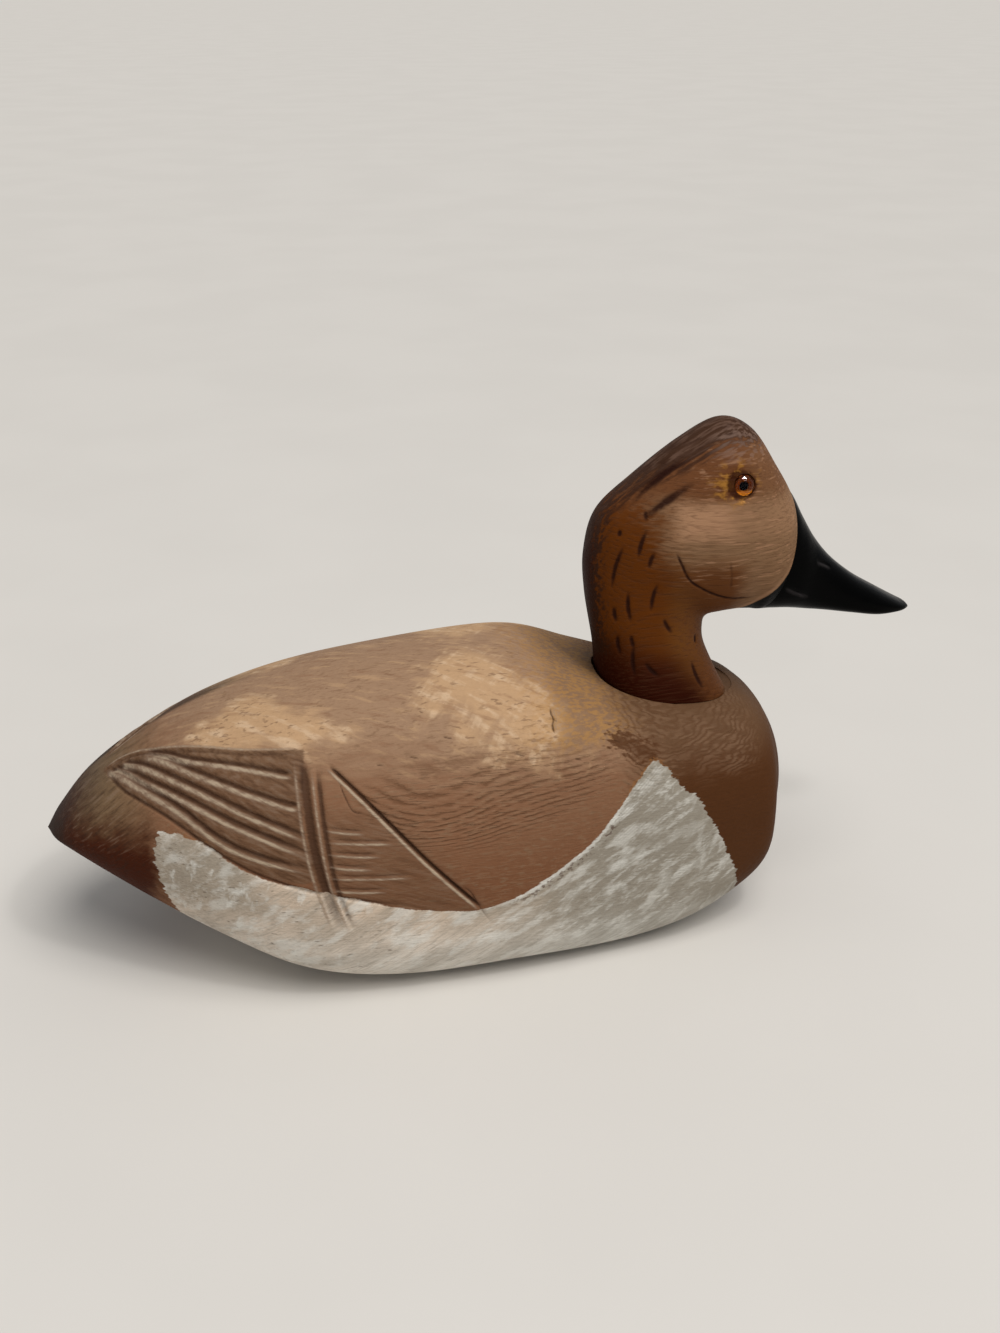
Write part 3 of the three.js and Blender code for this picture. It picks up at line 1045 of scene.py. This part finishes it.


# %% Tail, and painted shade on the far side of the ridge before it
def tail_coats(paint, colour, noises):
    """Olive and grey above, dark red below, rubbed pale along the brush."""
    x, y, z = paint.axes
    brushed, fine, cloudy, _ = noises
    behind = x + cloudy.sway(12) + brushed.sway(10)
    low = (z + cloudy.sway(12) + brushed.sway(12)).below(64, 86)
    colour = colour.coat(0.9 * behind.below(30, 58), TAIL_OLIVE)
    colour = colour.coat(0.9 * (behind - 0.2 * (z - 60)).below(8, 30), TAIL_GREY)
    # Painted shade on the far side of the back before the tail, where it turns away from the light.
    far_shade = (y + fine.sway(4)).above(8, 14) * (y + cloudy.sway(14)).below(16, 34)
    colour = colour.coat(0.8 * (far_shade * behind.below(74, 106)), FAR_SIDE_SHADE)
    colour = colour.coat(behind.below(46, 55) * low, TAIL_RED)
    rubbed = paint.grain((10, 3, 0.9), 3, turn=(0, -38, 0))
    rump = behind.below(34, 60)
    colour = colour.coat(0.3 * rump * z.above(58, 72) * rubbed.above(0.54, 0.70), LIP_SOFT)
    colour = colour.coat(0.4 * rump * rubbed.below(0.34, 0.50), TAIL_TIP_BROWN)
    return colour.coat(behind.below(2, 18) * z.below(74, 82), TAIL_TIP_BROWN)


# %% Grain of the body: level lines on the side, arcs on the breast
ARC_MIDDLE = (281, 122)


def side_grain(paint, colour, parts, splinter):
    """Dark growth lines with light crests, and their mask for the relief."""
    hair = paint.grain((11, 3, 0.6), 3)
    ridged = paint.stored("ridged")
    ring = paint.stored("ring") + splinter.sway(1.3)
    side = (ring / RING_SPACING).wave() ** 3
    side = (side * parts.above(0.38, 0.56)).bigger(0.75 * hair.above(0.57, 0.70))
    side = side * (0.10 + 0.90 * ridged)
    colour = colour.coat(0.54 * side, GRAIN_DARK)
    crest = ((ring + 0.5 * RING_SPACING) / RING_SPACING).wave() ** 4
    crest = crest * ridged * hair.above(0.42, 0.56)
    return colour.coat(0.3 * crest, BACK_TAN), side


def body_grain(paint, colour, cloudy):
    """The grain of side and breast, and its mask for the relief."""
    x, _, z = paint.axes
    parts = paint.grain((11, 4, 1.8), 3)
    splinter = paint.grain((4, 1.2, 0.9), 3)
    colour, side = side_grain(paint, colour, parts, splinter)
    wander = paint.grain((16, 9, 9), 2)
    ahead, over = x - ARC_MIDDLE[0], z - ARC_MIDDLE[1]
    round_neck = (ahead * ahead + 1.5 * over * over) ** 0.5
    arcs = ((round_neck + wander.sway(12) + splinter.sway(1.5)) / 2.5).wave() ** 2
    zone = x.above(246, 258) * x.below(308, 326) * z.above(78, 90)
    zone = zone * cloudy.above(0.30, 0.55)
    colour = colour.coat(0.42 * zone * arcs, GRAIN_DARK)
    colour = colour.coat(0.42 * zone * (1 - arcs) * parts.above(0.38, 0.6), BREAST_LINE)
    return colour, side.bigger(0.6 * zone * arcs)


# %% Wing
def wing_coat(paint, colour, fine):
    """The darker wing with its dry-brushed scratches."""
    x, _, z = paint.axes
    scratch = paint.grain((16, 3.0, 1.4), 3, turn=(0, 22, 0))
    panel = (paint.stored("panel") + fine.sway(2)).above(-0.6, 0.8)
    level = x.above(112, 117) * (x + 0.8 * (z - 60)).below(160, 185)
    wing = panel.bigger(0.6 * level * z.below(82, 96))
    colour = colour.coat(0.85 * wing, WING_BROWN)
    colour = colour.coat(wing * 0.32 * scratch.above(0.48, 0.70), LIP_SOFT)
    return colour.coat(wing * 0.35 * scratch.below(0.34, 0.50), CUT_DARK)


# %% Flank
def flank_daubs(paint, slanting, forward, noises):
    """The flank's grey, with painted shade darker ahead, painted light from the floor paler low
    down, daubed and scored all over.
    """
    x, _, z = paint.axes
    _, fine, cloudy, _ = noises
    rear = (x + cloudy.sway(40)).below(110, 175)
    # Painted shade: the grey darkens ahead.
    pale = paint.mix((x + cloudy.sway(30)).above(150, 250), FLANK_GREY, FLANK_FRONT_SHADE)
    # Painted light thrown up by the pale floor: the grey is paler low down, less so at the rear.
    floor_light = (z + 0.12 * x).below(26, 66) * (1 - 0.25 * rear)
    pale = pale.coat(0.75 * floor_light, FLANK_LIGHT)
    upper_rear = (x + cloudy.sway(20)).below(82, 106) * z.above(38, 56)
    pale = pale.coat(0.7 * upper_rear, FLANK_DARK)
    broad = paint.grain((34, 24, 13), 3, turn=(0, -25, 0))
    pale = pale.coat(0.4 * broad.above(0.44, 0.66), FLANK_DARK)
    scored = paint.grain((10, 5, 0.8), 3, turn=(0, -32, 0))
    pale = pale.coat(0.35 * scored.above(0.46, 0.66), FLANK_DARK)

    strokes = paint.mix(rear, slanting, paint.grain((6, 6, 5.0), 4, turn=(0, 24, 0)))
    strokes = (strokes + fine.sway(0.4)).above(0.48, 0.70)
    pale = pale.coat((0.1 + 0.35 * broad.below(0.40, 0.56)) * strokes, FLANK_LIGHT)
    daub = paint.grain((18, 10, 7), 4, turn=(0, -28, 0), rough=0.6).above(0.48, 0.64)
    pale = pale.coat((0.5 - 0.3 * forward - 0.1 * upper_rear) * daub, FLANK_LIGHT)
    dab = paint.grain((5, 8, 9), 3, turn=(0, 16, 0)).above(0.58, 0.70)
    pale = pale.coat(0.5 * rear * dab, FLANK_LIGHT)
    upright = paint.grain((5.0, 9, 15), 3, turn=(0, 20, 0)) + scored.sway(0.3)
    pale = pale.coat(0.35 * forward * upright.above(0.54, 0.72), FLANK_LIGHT)

    lines = ((z * 0.8 - x * 0.6 + 3 * cloudy) / 1.3).wave()
    apex = z.above(58, 72) * x.above(232, 244) * x.below(262, 274)
    pale = pale.coat(0.35 * apex * lines, FLANK_DARK)
    tick = paint.grain((4.5, 2.5, 0.9), 3).above(0.62, 0.73)
    return pale.coat(tick * (0.3 + 0.4 * rear), FLANK_TICK)


def flank_coat(paint, colour, slanting, noises):
    """The grey over the browns, with a ragged edge and a rusty halo, and its mask."""
    x, _, z = paint.axes
    _, _, cloudy, speckle = noises
    from_edge = paint.stored("flank")
    jag = paint.grain((9, 5, 2.0), 3)
    forward = x.above(262, 276)
    rough = 2.0 + 4.0 * forward + 5.0 * x.below(60, 72)
    grey = (from_edge + jag.sway(rough) + speckle.sway(1.0)).above(-0.3, 0.4)
    pale = flank_daubs(paint, slanting, forward, noises)

    upper = z.above(38, 46) * x.above(190, 206) * x.below(246, 256)
    lip = (from_edge + speckle.sway(3)).below(1.0, 2.4)
    pale = pale.coat(0.6 * upper * lip, FLANK_LIGHT)
    behind_lip = (1 - lip) * from_edge.below(3.4, 5.4)
    flecks = paint.grain((2.4, 1.6, 1.6), 2).above(0.52, 0.62)
    pale = pale.coat(0.6 * upper * behind_lip * flecks, TAIL_RED)
    halo = (from_edge + jag.sway(5)).above(-1.6, -0.2) * (speckle + cloudy).above(0.98, 1.14)
    colour = colour.coat(0.5 * halo * z.above(68, 82), HALO_RUST)
    return colour.coat(grey, pale), grey


# %% All coats together
BODY_SHEEN = 0.08
BRUSH_DEPTH = 0.45


def body_recipe():
    """Oil paint on the body block."""
    paint = Recipe("body_paint")
    brushed = paint.grain((26, 3.2, 3.2), 3)
    fine = paint.grain((6, 0.8, 0.8), 2)
    cloudy = paint.grain((30, 22, 22), 2)
    speckle = paint.grain((1.4, 1.4, 1.4), 2)
    slanting = paint.grain((15, 9, 3.0), 3, turn=(0, -30, 0))
    noises = (brushed, fine, cloudy, speckle)
    colour = tail_coats(paint, ground_coats(paint, noises), noises)
    colour, furrow = body_grain(paint, colour, cloudy)
    colour = wing_coat(paint, colour, fine)
    colour, grey = flank_coat(paint, colour, slanting, noises)

    lip = paint.stored("pale")
    broken = paint.grain((6, 3, 3), 3)
    combed = paint.grain((10, 3, 0.8), 3, turn=(0, 24, 0))
    # Painted shade darkens the carved cuts, nicks and crack over their real depth, with less of it
    # on the grey.
    dark = (paint.stored("dark") * (0.5 + 0.5 * broken + 0.5 * combed)).above(0.12, 0.95)
    colour = colour.coat(dark * (0.8 - 0.35 * grey), CUT_DARK)
    dry = (lip * (0.2 + 0.8 * broken + 0.9 * combed)).above(0.15, 0.9)
    colour = colour.coat(dry * 0.75, LIP_SOFT)
    crest = (lip * (1.1 * broken + 1.0 * combed)).above(0.55, 1.15)
    colour = colour.coat(crest * 0.85, LIP_PALE)
    tone = 0.84 + 0.20 * fine + 0.12 * speckle
    colour = paint.mix(1.0, colour, tone, "MULTIPLY")

    height = 0.5 * fine + 0.35 * brushed + 0.3 * speckle - 0.7 * furrow
    height = height + 0.5 * grey * slanting + 0.5 * combed * lip
    paint.surface(
        Base_Color=colour,
        Roughness=0.56 + 0.16 * cloudy,
        Specular_IOR_Level=BODY_SHEEN,
        Normal=paint.bump(height, BRUSH_DEPTH),
    )
    print("body paint nodes:", len(paint.tree.nodes))
    return paint.material


body.data.materials.clear()
body.data.materials.append(body_recipe())
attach(body, "root")
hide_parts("body")

# %% [markdown]
# ## Head and bill
# Head, neck and bill are one block. The bill is wrapped on its own stations and joined to the
# head, so that the cheek keeps its raised edge round the bill's root. The seat is sawn flat,
# and a round socket is cut for each eye.

# %% Dashes of the neck: middle, length and lean from upright in degrees
NECK_DASHES = [
    (267, 183, 10.4, 16), (271, 176, 6.5, 17), (258, 187, 2.6, 12), (257, 172, 16.5, 13),
    (273, 158.5, 11, 10), (262.3, 154, 12, -6), (256.5, 150, 6, -9), (280, 144, 7, -31),
    (265, 128.5, 12.5, -4), (273, 124, 8, -43), (295, 134.5, 3.6, 0), (295, 119, 12.6, -24),
    (269, 195, 3.7, 0), (264, 137.5, 5.5, -13), (258.5, 135.5, 8, -8),
]
DASH_SHARE = 0.66
DASH_BOW = 0.06
DASH = cut(width=1.1, depth=0.55, dark=1.0, taper=0.35)
CREASE = cut(width=0.7, depth=0.55, lip=0.15, lip_at=1.4, dark=0.9, taper=0.12)
FAINT = cut(width=0.9, depth=0.15, dark=0.45, taper=0.2)
WEDGE = cut(width=1.9, depth=0.3, dark=1.05, taper=0.5)
SLIT = cut(width=0.6, depth=0.5, lip=0.2, lip_at=1.0, pale=0.6, taper=0.3)

HEAD_LINES = [
    (CREASE, [
        (281, 180), (284, 174), (287.5, 167), (293, 162.5), (301, 158), (310, 155), (321, 154),
    ]),
    (FAINT, [(305, 176), (306.5, 168), (307, 160)]),
    (WEDGE, [(267, 193), (273, 198), (283, 205), (291, 210)]),
    (WEDGE, [(262, 197), (271, 206), (281, 213.5), (292, 219)]),
]
for middle_x, middle_z, length, lean in NECK_DASHES:
    over = DASH_SHARE * length * math.sin(math.radians(lean))
    up = DASH_SHARE * length * math.cos(math.radians(lean))
    bowed = (middle_x - DASH_BOW * length, middle_z)
    ends = (middle_x + over, middle_z + up), (middle_x - over, middle_z - up)
    HEAD_LINES.append((DASH, [ends[0], bowed, ends[1]]))
BILL_LINES = [
    (SLIT, [(351, 167), (355, 165), (359, 162.5)]),
    (SLIT, [(336, 157), (341, 154), (348, 151.5)]),
]
print("lines of the head and bill:", len(HEAD_LINES) + len(BILL_LINES))


# %% Rays that lay lines on the side of the head
def ray_from_side(row):
    """A level ray from the bird's right, at a distance from the tail and a height."""
    return Vector((row[0], -200, row[1])), Vector((0, 1, 0))


# %% Wrap and carve the head and the bill
HEAD_SLICES = 190
HEAD_AROUND = 150
BILL_SLICES = 110
BILL_AROUND = 90
DASH_ROOM = 2.4


def carved_skin(form, slices, around, lines):
    """A closed skin with lines cut into it, and its strokes."""
    marks = even_marks(*form)
    sheet = ruled_sheet(slices, around)
    points = wrapped(sheet, *form, marks)
    whole = sheet.copy()
    move_to(whole, points)
    close_skin(whole)
    strokes = laid(BVHTree.FromBMesh(whole), lines, ray_from_side)
    whole.free()
    split_where(sheet, nearest_stroke(points, strokes) < DASH_ROOM)
    move_to(sheet, wrapped(sheet, *form, marks))
    close_skin(sheet)
    height, _, _ = carve_strokes(points_of(sheet), strokes)
    press(sheet, height)
    return sheet, strokes


bill_form = (BILL_STATIONS, HEAD_START, HEAD_SIZE)
head_skin, head_strokes = carved_skin(head_form, HEAD_SLICES, HEAD_AROUND, HEAD_LINES)
bill_skin, bill_strokes = carved_skin(bill_form, BILL_SLICES, BILL_AROUND, BILL_LINES)
print("head vertices:", len(head_skin.verts), "bill vertices:", len(bill_skin.verts))

# %% Raise the filler round each eye
eye_low, eye_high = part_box("eye_right")
EYE_RADIUS = (eye_high.x - eye_low.x) / 2 / MM
EYE_PLACE = np.array((eye_low + eye_high) / 2) / MM - (TAIL_TIP, 0, 0)
GROOVE_RING, GROOVE_WIDTH, GROOVE_DEPTH = 6.6, 1.1, 0.55
RIM_RING, RIM_WIDTH, RIM_HEIGHT = 9.2, 1.8, 0.35
LUMP_SIZE, LUMP_HEIGHT = 2.6, 0.4


def from_eye(points):
    """Distance in mm from each point to the middle of the eye on its own side."""
    return np.linalg.norm(folded(points) - EYE_PLACE, axis=1)


points = points_of(head_skin)
lumps = np.array([noise.noise(point / LUMP_SIZE) for point in points])
ring_out = from_eye(points)
rim = (RIM_HEIGHT + LUMP_HEIGHT * lumps) * bell(ring_out - RIM_RING, RIM_WIDTH)
press(head_skin, rim - GROOVE_DEPTH * bell(ring_out - GROOVE_RING, GROOVE_WIDTH))

# %% Join the bill, saw the seat and cut the eye sockets
CUT_LIFT = 0.3
EYE_GAP = 0.3


def eye_ball(radius, side, columns, rings, turn=Matrix.Identity(4)):
    """A ball at the place of an eye, on the right for side 1 and on the left for -1."""
    ball = bmesh.new()
    place = Matrix.Translation((EYE_PLACE[0], side * EYE_PLACE[1], EYE_PLACE[2])) @ turn
    bmesh.ops.create_uvsphere(
        ball, u_segments=columns, v_segments=rings, radius=radius, matrix=place
    )
    return ball


saw_at_seat(head_skin, CUT_LIFT)
wood = bpy.data.materials.new("wood")
horn = bpy.data.materials.new("horn")
head = new_piece("painted_head", head_skin, wood)
carve_with(head, new_piece("bill_tool", bill_skin, horn), "UNION")
for side in (1, -1):
    socket = eye_ball(EYE_RADIUS + EYE_GAP, side, 48, 24)
    carve_with(head, new_piece("socket_tool", socket, wood))

# %% Outlines of the head's paint, in mm from the tail and above the ground
CAP = [
    (338, 232), (320, 224), (310, 226), (302, 224), (294, 220), (286, 216), (278, 212), (271, 208),
    (264, 203), (256, 197), (252, 190), (250, 183), (249, 173), (249, 162), (251, 139),
    (252, 129), (238, 118), (225, 160), (235, 225), (290, 250),
]
FILLER = [
    (299, 203), (303, 201), (309, 200), (316, 202), (320, 206), (319, 212), (314, 216),
    (306, 216), (300, 213), (297, 208),
]
CHIN = [
    (342, 172), (338.5, 169), (336, 164), (331, 158.5), (325, 153.5), (320, 149), (315, 145),
    (316, 138), (350, 138),
]
HEAD_HEART = (-6, 150)
HEAD_DRIFT = [(26, 5.0), (9, 1.0)]


# %% Values for the head's paint
points = carver_points(head)
_, dark, _ = carve_strokes(points, head_strokes)
_, _, slit = carve_strokes(points, bill_strokes)
store(
    head,
    dark=dark,
    slit=slit,
    ring=growth_rings(points, HEAD_HEART, HEAD_DRIFT, GRAIN_RUN),
    cap=side_outline(points, CAP),
    filler=side_outline(points, FILLER),
    chin=inside(points[:, 0], points[:, 2], CHIN),
    from_eye=from_eye(points),
)
finish_surface(head)

# %% [markdown]
# ## Paint of the head
# Under the dark brown cap the face is worn to a pink brown with the grain showing as fine
# level lines, and the neck is a warm red brown that darkens towards the shoulders. Round the
# eye sits a patch of amber filler with a dark ring where the glass meets it. The bill is
# gloss black.

# %% Mix the head's paint
CAP_BROWN = tint("412a1c")
CAP_LIGHT = tint("5c4437")
CAP_DARK = tint("331d12")
CAP_SHEEN = tint("8c7264")
FACE_PINK = tint("b18666")
FACE_TAN = tint("7f6045")
FACE_UPPER = tint("663f24")
CHEEK_LOW = tint("5e371a")
FACE_DARK = tint("4a2c1a")
NECK_RUST = tint("5a2d05")
NECK_FRONT = tint("663e17")
NECK_FOOT = tint("361002")
NECK_FOOT_SHADE = tint("290500")
NAPE_DARK = tint("2d0c01")
FILLER_AMBER = tint("9f6e2c")
RIM_BROWN = tint("331504")
FILLER_DARK = tint("573016")
DASH_DARK = tint("240d06")
BILL_BLACK = tint("020202")
BILL_SLIT_GREY = tint("3a3636")


# %% Neck and face
def neck_coats(paint, level, cloudy):
    """The rusty neck, with painted shade round its foot in the recess, darker towards its foot, and
    brown where it meets the cap.
    """
    x, _, z = paint.axes
    neck = paint.mix((x + cloudy.sway(12)).above(275, 291), NECK_RUST, NECK_FRONT)
    # Painted shade round the neck's foot, deepest at the back, down in the recess of the seat.
    shaded_corner = 0.25 * (x - 255) + 0.7 * (z - 112) + cloudy.sway(10)
    neck = neck.coat(shaded_corner.below(5, 24), NECK_FOOT_SHADE)
    neck = neck.coat((z + level.sway(14)).above(189, 207), FACE_UPPER)
    foot = (z + cloudy.sway(14)).below(110, 146) * (1 - 0.7 * x.above(282, 296))
    return neck.coat(0.72 * foot, NECK_FOOT)


def face_coats(paint, level, cloudy):
    """The face: brown low down and above, tan in front, worn pink across the cheek."""
    x, _, z = paint.axes
    height = z + level.sway(9) + cloudy.sway(6)
    brow = height.above(196, 206)
    face = paint.mix(height.above(166, 180), CHEEK_LOW, FACE_TAN)
    face = face.coat(brow, FACE_UPPER)
    front = (x + level.sway(5)).above(307, 319) * (1 - 0.65 * brow)
    face = face.coat(0.9 * front, FACE_TAN)
    glow = height.above(180, 189) * height.below(196, 204) * x.above(274, 288)
    return face.coat(0.66 * glow * (1 - 0.7 * x.above(298, 314)), FACE_PINK)


def neck_and_face(paint, cloudy, blotch):
    """Neck and face with their level grain."""
    x, _, z = paint.axes
    level = paint.grain((15, 2.2, 1.5), 3)
    fine = paint.grain((12, 1.0, 0.7), 3)
    behind = x + 0.3 * (z - 170) + level.sway(22) + blotch.sway(8)
    face = face_coats(paint, level, cloudy)
    colour = neck_coats(paint, level, cloudy).coat(behind.above(271, 292), face)
    lines = (paint.stored("ring") / 2.1 + 1.2 * level).wave() ** 3
    lines = lines * level.above(0.42, 0.62)
    colour = colour.coat(0.28 * lines, FACE_DARK)
    colour = colour.coat(0.4 * fine.above(0.48, 0.7), FACE_DARK)
    light = (level + fine.sway(0.5)).above(0.55, 0.72) * x.above(278, 296)
    return colour.coat(0.4 * (light * z.above(152, 166)), FACE_PINK), lines, fine


# %% Cap and filler
def cap_coat(paint, colour, cloudy, blotch):
    """The dark cap and nape, combed along their length, with a painted sheen on the crown."""
    x, _, z = paint.axes
    streak = paint.grain((13, 1.8, 1.8), 3, turn=(0, -30, 0))
    within = paint.stored("cap") + streak.sway(6)
    cap = paint.mix(streak.above(0.42, 0.66), CAP_BROWN, CAP_LIGHT)
    combed = (paint.stored("cap") / 2.6 + 1.4 * streak).wave() ** 2
    cap = cap.coat(0.6 * combed * blotch.above(0.4, 0.6), CAP_DARK)
    cap = cap.coat((z + cloudy.sway(10)).below(168, 205), NAPE_DARK)
    colour = colour.coat(within.above(-1.5, 1.5), cap)
    edge = within.above(-4, -0.5) * within.below(0.5, 4)
    colour = colour.coat(0.8 * edge * streak.above(0.38, 0.56), CAP_DARK)
    # Painted sheen in streaks on the crown, near the cap's edge.
    crown_sheen = x.above(294, 304) * x.below(320, 328) * z.above(215, 220)
    crown_sheen = crown_sheen * within.below(2, 7) * streak.above(0.44, 0.60)
    return colour.coat(0.35 * crown_sheen, CAP_SHEEN)


def filler_coat(paint, colour, gritty):
    """Amber filler smeared beside the eye, and the dark ring round the glass."""
    x = paint.axes[0]
    smeared = paint.grain((4.2, 4.2, 3.0), 3)
    within = paint.stored("filler") - 3 * x.above(309, 315)
    amber = (within + gritty.sway(4) + smeared.sway(12)).above(-3.5, 4.5)
    clear = (smeared + gritty.sway(0.5)).above(0.38, 0.66)
    colour = colour.coat(0.8 * amber, paint.mix(clear, FILLER_DARK, FILLER_AMBER))
    ring = paint.stored("from_eye") + gritty.sway(2.4) - 2.2 * x.below(303, 313)
    return colour.coat(ring.below(5.3, 7.0) * 0.92, RIM_BROWN)


# %% All coats of the head, and the bill
HEAD_SHEEN = 0.06
HEAD_DEPTH = 0.3
BILL_SHEEN = 0.035
BILL_DEPTH = 0.12


def head_recipe():
    """Oil paint on the head block."""
    paint = Recipe("head_paint")
    cloudy = paint.grain((24, 20, 20), 2)
    blotch = paint.grain((6, 6, 6), 3)
    gritty = paint.grain((2.6, 2.6, 1.6), 4, rough=0.65)
    broken = paint.grain((2.5, 1.6, 2.5), 2)
    colour, lines, fine = neck_and_face(paint, cloudy, blotch)
    colour = cap_coat(paint, colour, cloudy, blotch)
    colour = filler_coat(paint, colour, gritty)
    dark = (paint.stored("dark") * (0.6 + 0.8 * broken)).above(0.12, 0.9)
    colour = colour.coat(dark * 0.92, DASH_DARK)
    chin = paint.stored("chin")
    rim_light = chin.above(-3.2, -1.2) * chin.below(-0.8, 0.0)
    colour = colour.coat(0.35 * rim_light, FACE_PINK)
    colour = colour.coat((chin + gritty.sway(0.8)).above(-0.2, 0.2), BILL_BLACK)
    paint.surface(
        Base_Color=colour,
        Roughness=0.5 + 0.18 * cloudy,
        Specular_IOR_Level=HEAD_SHEEN,
        Normal=paint.bump(0.5 * fine + 0.3 * gritty - 0.4 * lines, HEAD_DEPTH),
    )
    print("head paint nodes:", len(paint.tree.nodes))
    return paint.material


def bill_recipe():
    """Gloss black on the bill, grey along its slits."""
    paint = Recipe("bill_paint")
    brushed = paint.grain((18, 2.5, 2.5), 2)
    paint.surface(
        Base_Color=paint.mix(paint.stored("slit"), BILL_BLACK, BILL_SLIT_GREY),
        Roughness=0.2 + 0.16 * brushed,
        Specular_IOR_Level=BILL_SHEEN,
        Normal=paint.bump(brushed, BILL_DEPTH),
    )
    return paint.material


recipes = {"wood": head_recipe(), "horn": bill_recipe()}
for index, material in enumerate(head.data.materials):
    head.data.materials[index] = recipes[material.name]
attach(head, "root")
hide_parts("head")

# %% [markdown]
# ## Glass eyes
# A decoy's eye is a ball of clear glass pressed over a painted disc. The disc is made here as
# a separate small piece inside the glass, with a black pupil and a dark edge. Its amber is
# bright below the pupil as painted light gathered by the glass, and brown above as painted
# shade. It stands just outside the middle of the ball, so the glass magnifies the pupil as in
# the real one. The glass mirrors less than real glass does, which keeps the pale floor from
# veiling the pupil, and the bright window makes up for it in the glint.

# %% Mix glass and the disc's paints
IRIS_AMBER = tint("885011")
IRIS_SHADE = tint("361605")
LIT_AMBER_BELOW = 3.0
SHADE_ABOVE = 1.0
GLASS_MIRROR = (0.3, 0.3, 0.3, 1.0)
CLOUD_SIZE = 0.8


def glass_recipe():
    """Clear glass."""
    paint = Recipe("eye_glass")
    paint.surface(
        Base_Color=(1.0, 0.98, 0.94, 1.0),
        Roughness=0.02,
        IOR=1.4,
        Specular_Tint=GLASS_MIRROR,
        Transmission_Weight=1.0,
    )
    return paint.material


def plain_recipe(name, first, second, cloud, rough):
    """A matt paint in two shades, with clouds of a size in mm."""
    paint = Recipe(name)
    clouds = paint.grain((cloud, cloud, cloud), 3)
    colour = paint.mix(clouds.above(0.35, 0.65), first, second)
    paint.surface(Base_Color=colour, Roughness=rough, Specular_IOR_Level=0.0)
    return paint.material


def iris_recipe():
    """Amber below the pupil, as painted light gathered by the glass, and brown above, as painted
    shade.
    """
    paint = Recipe("iris_amber")
    # Painted light keeps the amber bright below the pupil, and painted shade turns it brown above.
    height = paint.axes[2].above(EYE_PLACE[2] - LIT_AMBER_BELOW, EYE_PLACE[2] - SHADE_ABOVE)
    colour = paint.mix(height, IRIS_AMBER, IRIS_SHADE)
    paint.surface(Base_Color=colour, Roughness=0.6, Specular_IOR_Level=0.0)
    return paint.material


glass = glass_recipe()
disc_paints = (
    iris_recipe(),
    plain_recipe("pupil_black", tint("030202"), tint("060404"), CLOUD_SIZE, 0.8),
    plain_recipe("iris_edge", tint("2a1004"), tint("1e0a02"), CLOUD_SIZE, 0.8),
)

# %% Make the glass balls and the painted discs
IRIS_RADIUS = 4.5
IRIS_DEPTH = 0.8
PUPIL_RING = 3.5
PUPIL_RADIUS = 1.6
DISC_LEAD = 0.6


def painted_disc(name, side):
    """A thin disc facing out of the head, with a pupil and an edge in their own paints."""
    bm = bmesh.new()
    bmesh.ops.create_cone(
        bm, cap_ends=True, segments=64, radius1=IRIS_RADIUS, radius2=IRIS_RADIUS,
        depth=IRIS_DEPTH,
    )
    front = max(bm.faces, key=lambda face: face.calc_center_median().z)
    for width, index in ((IRIS_RADIUS - PUPIL_RING, 2), (PUPIL_RING - PUPIL_RADIUS, 0)):
        bmesh.ops.inset_region(bm, faces=[front], thickness=width, use_even_offset=True)
        for edge in front.edges:
            for face in edge.link_faces:
                face.material_index = index
    front.material_index = 1
    bmesh.ops.rotate(bm, verts=bm.verts, matrix=Matrix.Rotation(side * math.pi / 2, 3, "X"))
    out = side * (-abs(EYE_PLACE[1]) - DISC_LEAD)
    bmesh.ops.translate(bm, verts=bm.verts, vec=(EYE_PLACE[0], out, EYE_PLACE[2]))
    return new_piece(name, bm, *disc_paints)


eyes = bpy.data.collections.new("eyes")
eye_window.light_linking.receiver_collection = eyes
for name, side in (("right", 1), ("left", -1)):
    ball = eye_ball(EYE_RADIUS, side, 64, 32, Matrix.Rotation(math.pi / 2, 4, "X"))
    eye = new_piece(f"glass_eye_{name}", ball, glass)
    disc = painted_disc(f"iris_{name}", side)
    for piece in (eye, disc):
        for face in piece.data.polygons:
            face.use_smooth = piece is eye
        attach(piece, "root")
    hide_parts(f"eye_{name}")
    eyes.objects.link(eye)
print("eye width in mm:", round(2 * EYE_RADIUS, 1))

# %% [markdown]
# ## Floor
# A plain pale plane takes the shadow. It is staging and no part of the object.

# %% Lay the floor
FLOOR_SIDE = 60.0
FLOOR_CLOUD = 180
floor_mesh = bmesh.new()
bmesh.ops.create_grid(floor_mesh, x_segments=1, y_segments=1, size=FLOOR_SIDE / 2)
floor_data = bpy.data.meshes.new("floor")
floor_mesh.to_mesh(floor_data)
floor_mesh.free()
floor = bpy.data.objects.new("floor", floor_data)
bpy.context.scene.collection.objects.link(floor)
floor_data.materials.append(
    plain_recipe("floor_pale", tint("d7d3cd"), tint("d5d1cb"), FLOOR_CLOUD, 0.9)
)
floor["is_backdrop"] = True

# %% [markdown]
# ## Size
# The finished pieces are meant to fill the box of the fixed blocks, so their size is printed
# before the script ends.

# %% Print the finished size
low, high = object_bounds()
print("finished size in mm:", [round(side / MM, 1) for side in high - low])
